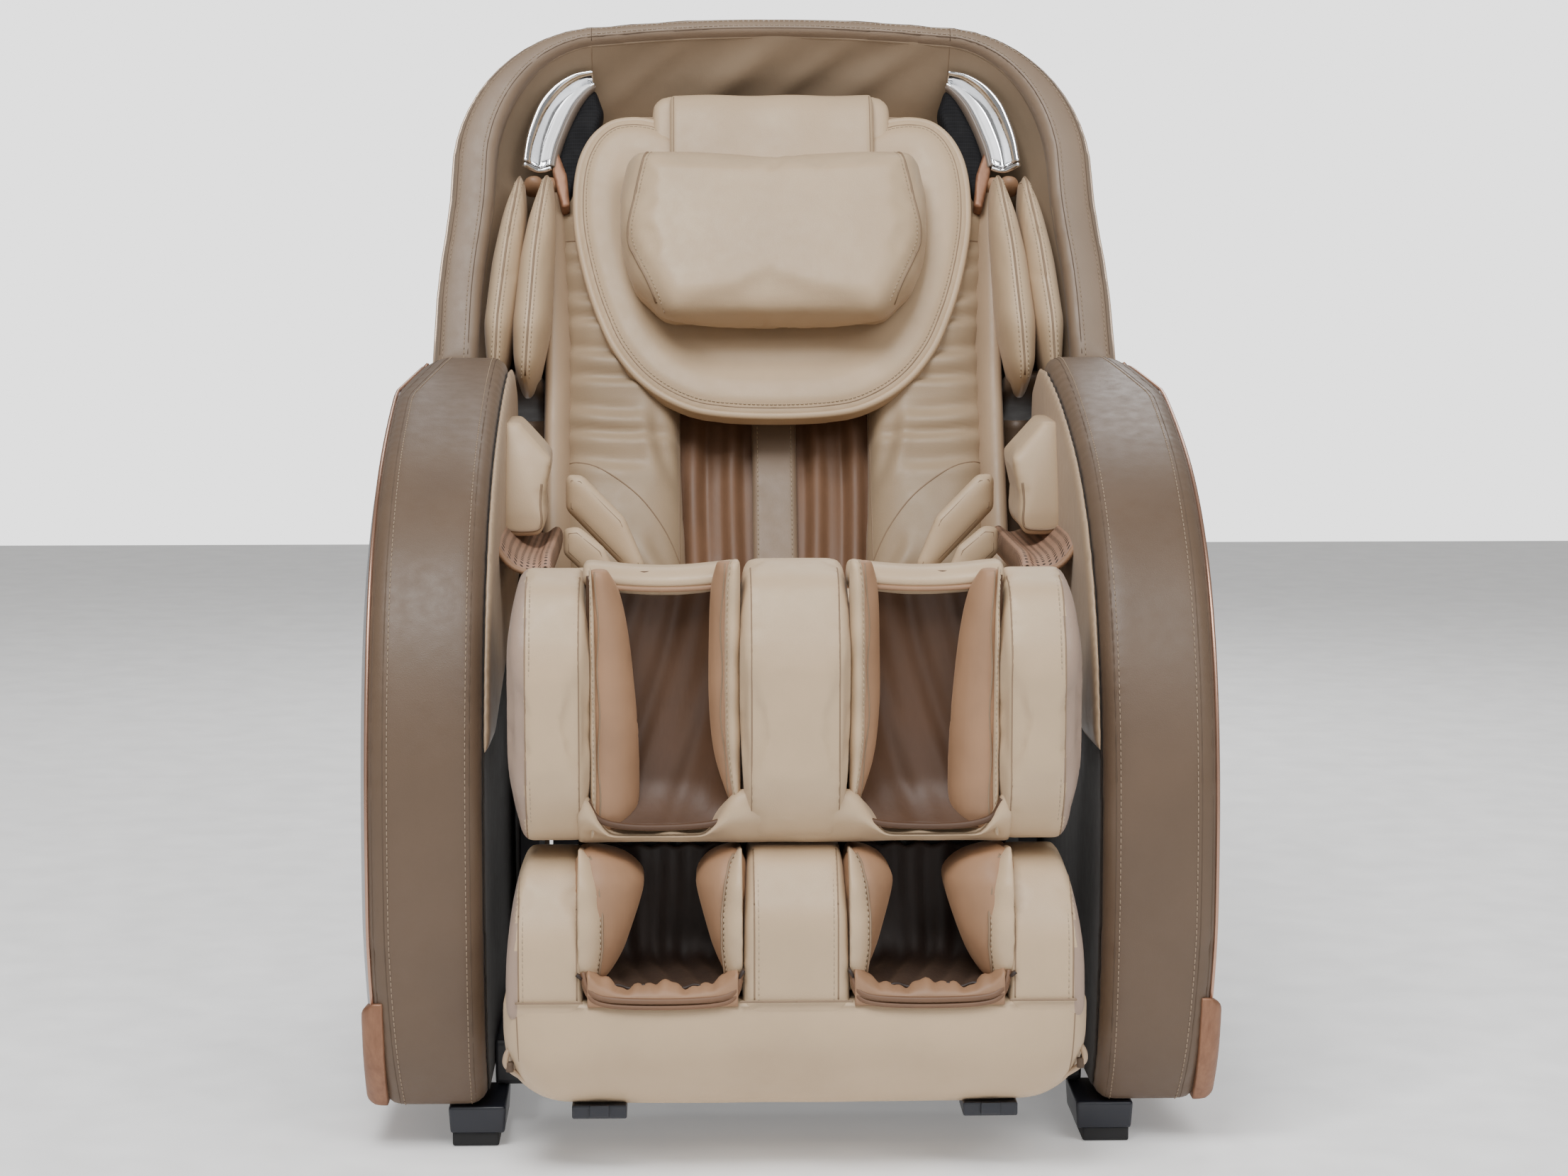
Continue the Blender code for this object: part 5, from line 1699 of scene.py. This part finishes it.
def make_foot_wells():
    """A well lined with brown satin painted nearly black as the shade deep inside it, with two bun-shaped
    airbags and a gathered lip in front.
    """
    trim = Trim("footrest", THREAD_BEIGE)
    near, far = 0.054, BLOCK_IN + 0.006
    profile = smooth_line([(0.020, -0.222), (0.018, -0.290), (0.040, -0.338), (0.095, -0.346),
                           (0.150, -0.346)], per=8)
    rows = []
    for s in np.linspace(0.0, 1.0, 41):
        x = near + (far - near) * s
        wall = abs(2.0 * s - 1.0) ** 6
        rows.append([(x, p.y + 0.02 * wall + 0.002 * math.sin(40.0 * s + 60.0 * p.x),
                      p.x + 0.02 * wall + 0.0015 * math.sin(33.0 * s)) for p in profile])
    # the lining's near-black is painted shade of the deep well
    lining = lofted("foot_lining_L", rows, SATIN_DEEP_SHADE, LEG)
    thicken(lining, 0.003, 0.0)
    ride_pair(lining, "footrest")

    # reach into the well and share of the beige half's width, by height
    ups = [-0.352, -0.335, -0.305, -0.270, -0.240, -0.220, -0.208]
    tapers = [0.7, 0.85, 1.0, 1.0, 0.85, 0.65, 0.35]
    buns = (("outer", far, -1.0, [0.034, 0.040, 0.050, 0.062, 0.071, 0.066, 0.036]),
            ("inner", near, 1.0, [0.018, 0.022, 0.032, 0.042, 0.050, 0.047, 0.024]))
    for name, wall, way, reach in buns:
        outline = rounded([(0.020, -0.348), (0.148, -0.352), (0.163, -0.300), (0.150, -0.235),
                           (0.120, -0.210), (0.040, -0.214), (0.020, -0.24)],
                          [0.02, 0.02, 0.05, 0.04, 0.02, 0.03, 0.02])
        thick = 0.05

        def bun(co):
            """The bag bulges into the well and narrows to a point at its top and its front."""
            width = np.interp(co[:, 1], ups, reach)
            ahead = unit((co[:, 2] - 0.110) / 0.05)
            inward = (co[:, 0] / thick) * width * (1.0 - 0.35 * ahead ** 2)
            co[:, 0] = wall + way * inward
            co[:, 2] -= 0.20 * np.clip(inward - 0.020, 0.0, 0.05)
            co[:, 2] -= 0.012 * ahead * unit(1.0 - inward / 0.022)
            return co

        bag = pad("foot_bag_" + name + "_L", LEG, "side", outline, 0.0, thick, SATIN, 0.0045, edge=0.045,
                  lip=0.30, rest="lo", shape=bun)
        if way < 0:
            bag.data.flip_normals()
        inflate(bag, 2.0, 0.004)
        ride_pair(bag, "footrest", ())

        width = 0.027 if name == "outer" else 0.023

        def cheek(co):
            """Beige outer half of the bag, puckered along its stitched edge."""
            inward = (co[:, 0] / thick) * width * np.interp(co[:, 1], ups, tapers) * 2.0
            co[:, 0] = wall + way * (inward + 0.001)
            co[:, 2] += 0.0012 * np.sin(co[:, 1] * 150.0)
            return co

        edge = rounded([(0.060, -0.352), (0.150, -0.354), (0.170, -0.300), (0.158, -0.236), (0.128, -0.206),
                        (0.060, -0.215)], [0.02, 0.02, 0.05, 0.04, 0.02, 0.03])
        side_bag = pad("foot_bag_side_" + name + "_L", LEG, "side", edge, 0.0, thick / 2.0, BEIGE, 0.004,
                       edge=0.03, lip=0.25, rest="lo", shape=cheek)
        if way < 0:
            side_bag.data.flip_normals()
        tree = tree_of(side_bag)
        line = [(wall + way * (width * np.interp(u, ups, tapers) - 0.003), u)
                for u in np.linspace(-0.345, -0.212, 60)]
        landed = on_leg(line, tree)
        trim.seam([(p + Vector((way * 0.0025, 0.0, 0.0)), n) for p, n in landed], 0.0014)
        trim.stitches(landed, 0.0060, 0.0040)
        ride_pair(side_bag, "footrest", ())

    rows = []
    for s in np.linspace(0.0, 1.0, 61):
        x = 0.060 + (0.214 - 0.060) * s
        rise = 0.020 * abs(2.0 * s - 1.0) ** 5
        wave = 0.0030 * math.sin(14.0 * s + 0.6) + 0.0022 * math.sin(31.0 * s) + 0.0012 * math.sin(67.0 * s)
        rows.append([(x, -0.360 + rise, 0.112), (x, -0.350 + rise + wave, 0.130),
                     (x, -0.345 + rise + wave, 0.148), (x, -0.348 + rise + wave * 0.5, 0.162),
                     (x, -0.353 + rise, 0.168), (x, -0.362, 0.166)])
    rows = [smooth_line(row, per=4) for row in rows]
    lip = lofted("foot_lip_L", rows, SATIN, LEG)
    thicken(lip, 0.003, 0.0)
    ride_pair(lip, "footrest", ())
    for drop, radius in ((0.0, 0.0032), (0.0065, 0.0026)):
        curve = smooth_line([(0.057, -0.330 - drop, 0.160), (0.064, -0.347 - drop, 0.167),
                             (0.085, -0.354 - drop, 0.169), (0.136, -0.356 - drop, 0.170),
                             (0.190, -0.354 - drop, 0.169), (0.211, -0.346 - drop, 0.167),
                             (0.219, -0.328 - drop, 0.160)], per=8)
        name = "foot_lip_piping_" + ("upper" if drop == 0.0 else "lower") + "_L"
        piping = bead(name, [(LEG @ p, FORWARD) for p in curve], radius, SATIN_MID)
        ride_pair(piping, "footrest")
    trim.finish("foot_well", pair=True)


make_foot_blocks()
make_apron()
make_foot_wells()


# ---- hard parts that keep their CAD shape ----
def dress(mat, *nodes):
    for name in nodes:
        obj = NODES[name]
        for slot in obj.material_slots:
            slot.material = mat


def both(*stems):
    return [stem + tag for stem in stems for tag in ("L", "R")]


def dress_hard_parts():
    dress(PAINTED, "base_cross_front", "base_cross_rear", "seat_pan", "back_cross_top", "calf_frame",
          "foot_frame", *both("base_rail_", "hinge_post_", "seat_bar_", "back_rail_"))
    dress(STEEL, "pivot_shaft", "leg_shaft")
    dress(BLACK, "base_cover", "massage_carriage", *both("front_foot_", "glide_pad_"))
    dress(RUBBER, "kneading_rollers", *both("rear_wheel_"))
    dress(SILVER, "lower_shell")


def block(name, matrix, x, u, f, mat, bevel=0.002, taper=0.0):
    """A bevelled box from limits across, up and forward; taper narrows its foot."""
    bm = bmesh.new()
    bmesh.ops.create_cube(bm, size=1.0)
    for vert in bm.verts:
        low = 1.0 - taper if vert.co.y < 0.0 else 1.0
        vert.co = ((x[0] + x[1]) / 2.0 + vert.co.x * (x[1] - x[0]) * low,
                   u[0] + (vert.co.y + 0.5) * (u[1] - u[0]),
                   (f[0] + f[1]) / 2.0 + vert.co.z * (f[1] - f[0]) * low)
    bmesh.ops.bevel(bm, geom=bm.edges[:], offset=bevel, segments=3, affect="EDGES", profile=0.6)
    bmesh.ops.transform(bm, matrix=matrix, verts=bm.verts)
    return mesh_object(name, bm, mat)


def make_feet():
    low, high = local_box("front_foot_L", BASE)
    sole = block("foot_sole_L", BASE, (low.x + 0.008, high.x - 0.004), (0.0, 0.017),
                 (low.z + 0.012, high.z - 0.006), RUBBER, 0.003)
    ride_pair(sole, "base")
    shoe = block("foot_shoe_L", BASE, (low.x, high.x), (0.0145, high.y), (low.z + 0.002, high.z), BLACK,
                 0.004, 0.06)
    ride_pair(shoe, "base", ["front_foot_"])
    low, high = local_box("glide_pad_L", LEG)
    clip = block("glide_clip_L", LEG, ((low.x + high.x) / 2.0 - 0.010, (low.x + high.x) / 2.0 + 0.010),
                 (low.y + 0.003, high.y + 0.0005), (high.z - 0.002, high.z + 0.004), BLACK, 0.001)
    ride_pair(clip, "footrest")


def shell_row(inset, f, foot_lift=0.0):
    """One line round the hood's shell: up the right side, over, and down the left."""
    foot = HOOD_FOOT + foot_lift
    return [(x, u, f) for x, u in whole(hood_half(inset, inset, foot))]


def make_rear_shell():
    """The hood's moulded shell, one smooth skin from the rim round to the back."""
    low, high = local_box("rear_shell", BACK)
    steps = ((0.0010, high.z), (0.0, high.z - 0.03), (0.0, -0.06), (0.0015, -0.12), (0.007, -0.160),
             (0.020, -0.190), (0.042, -0.208), (0.075, low.z + 0.002), (0.115, low.z), (0.165, low.z))
    rows = [shell_row(inset, f, min(0.018, 0.5 * inset)) for inset, f in steps]
    bm = bmesh.new()
    grid = [[bm.verts.new(BACK @ Vector(p)) for p in row] for row in rows]
    for a, b in zip(grid, grid[1:]):
        for i in range(len(a) - 1):
            bm.faces.new((a[i], a[i + 1], b[i + 1], b[i]))
    # the innermost row is closed across, pair by pair, up to its middle
    inner = grid[-1]
    middle = len(inner) // 2
    for i in range(middle):
        left, right = inner[i:i + 2], inner[len(inner) - 2 - i:len(inner) - i]
        if i + 1 == middle:
            bm.faces.new((left[0], left[1], right[1]))
        else:
            bm.faces.new((left[0], left[1], right[0], right[1]))
    # the foot folds under, leaving room for the back frame
    foot = []
    for row in grid:
        corner = row[0].co
        lip = max(0.30, abs(corner.x) - 0.10)
        foot.append([bm.verts.new((side * lip, corner.y, corner.z)) for side in (1, -1)])
    for step in range(1, len(grid) - 1):
        for side, end in ((0, 0), (1, -1)):
            edge_a, edge_b = grid[step][end], grid[step + 1][end]
            if abs(edge_b.co.x) > 0.302:
                bm.faces.new((edge_a, edge_b, foot[step + 1][side], foot[step][side]))
    bmesh.ops.delete(bm, geom=[v for v in bm.verts if not v.link_faces], context="VERTS")
    bmesh.ops.recalc_face_normals(bm, faces=bm.faces)
    shell = mesh_object("rear_shell_skin", bm, SILVER)
    thicken(shell, 0.004, -1.0, 1)
    ride(shell, "back", ["rear_shell"])
    return tree_of(shell)


def make_rear_details(tree):
    """Parting line and vents on the shell, both guessed."""
    line = whole(hood_half(0.088, 0.088, HOOD_FOOT + 0.09))
    landed = laid_on(smooth_line(face_points(line, -0.20), per=3), tree, -BACKWARD, 0.10)
    groove = bead("rear_shell_groove", landed, 0.0013, BEZEL)
    ride(groove, "back")
    low = local_box("rear_shell", BACK)[0]
    for number in range(7):
        u = 0.50 + 0.018 * number
        half = 0.095 - 0.003 * abs(number - 3)
        vent = block("rear_vent_" + str(number), BACK, (-half, half), (u - 0.003, u + 0.003),
                     (low.z - 0.0010, low.z + 0.004), BLACK, 0.0009)
        ride(vent, "back")


dress_hard_parts()
make_feet()
make_rear_details(make_rear_shell())


# ---- camera, light and floor ----
def make_stage():
    camera = bpy.data.objects.new("camera", bpy.data.cameras.new("camera"))
    camera.data.lens = 76.5
    camera.data.sensor_width = 36.0
    camera.location = (-0.115, -3.968, 1.0)
    yaw, pitch = math.radians(1.75), math.radians(-6.5)
    camera.rotation_euler = (math.radians(90.0) + pitch, 0.0, -yaw)
    bpy.context.scene.collection.objects.link(camera)
    bpy.context.scene.camera = camera

    bm = bmesh.new()
    bmesh.ops.create_grid(bm, x_segments=8, y_segments=8, size=6.0)
    pale = moulded("floor_pale", (0.93, 0.93, 0.93), 0.85)
    glow = next(n for n in pale.node_tree.nodes if n.type == "BSDF_PRINCIPLED")
    glow.inputs["Emission Color"].default_value = (1.0, 1.0, 1.0, 1.0)
    glow.inputs["Emission Strength"].default_value = 0.22
    floor = mesh_object("floor", bm, pale)
    floor.location = (0.0, 0.0, -0.0005)

    world = bpy.data.worlds.new("studio")
    bpy.context.scene.world = world
    world.use_nodes = True
    tree = world.node_tree
    ambient = tree.nodes["Background"]
    ambient.inputs["Strength"].default_value = 0.30
    ambient.inputs["Color"].default_value = (1.0, 0.985, 0.965, 1.0)
    seen = add(tree, "ShaderNodeBackground", Strength=2.9)
    path = add(tree, "ShaderNodeLightPath")
    mix = add(tree, "ShaderNodeMixShader")
    tree.links.new(path.outputs["Is Camera Ray"], mix.inputs["Fac"])
    tree.links.new(ambient.outputs["Background"], mix.inputs[1])
    tree.links.new(seen.outputs["Background"], mix.inputs[2])
    tree.links.new(mix.outputs["Shader"], tree.nodes["World Output"].inputs["Surface"])
    lamps = (("key", (-0.8, -2.3, 3.8), 1.8, 158.0), ("fill", (1.7, -3.0, 3.1), 2.0, 70.0),
             ("low", (0.0, -4.4, 1.1), 1.6, 8.0), ("rear", (0.4, 2.6, 2.8), 2.2, 60.0))
    for name, place, size, power in lamps:
        lamp = bpy.data.lights.new(name, "AREA")
        lamp.energy = power
        lamp.size = size
        light = bpy.data.objects.new(name, lamp)
        light.location = place
        way = Vector((0.0, 0.0, 0.6)) - Vector(place)
        light.rotation_euler = way.to_track_quat("-Z", "Y").to_euler()
        bpy.context.scene.collection.objects.link(light)


make_stage()
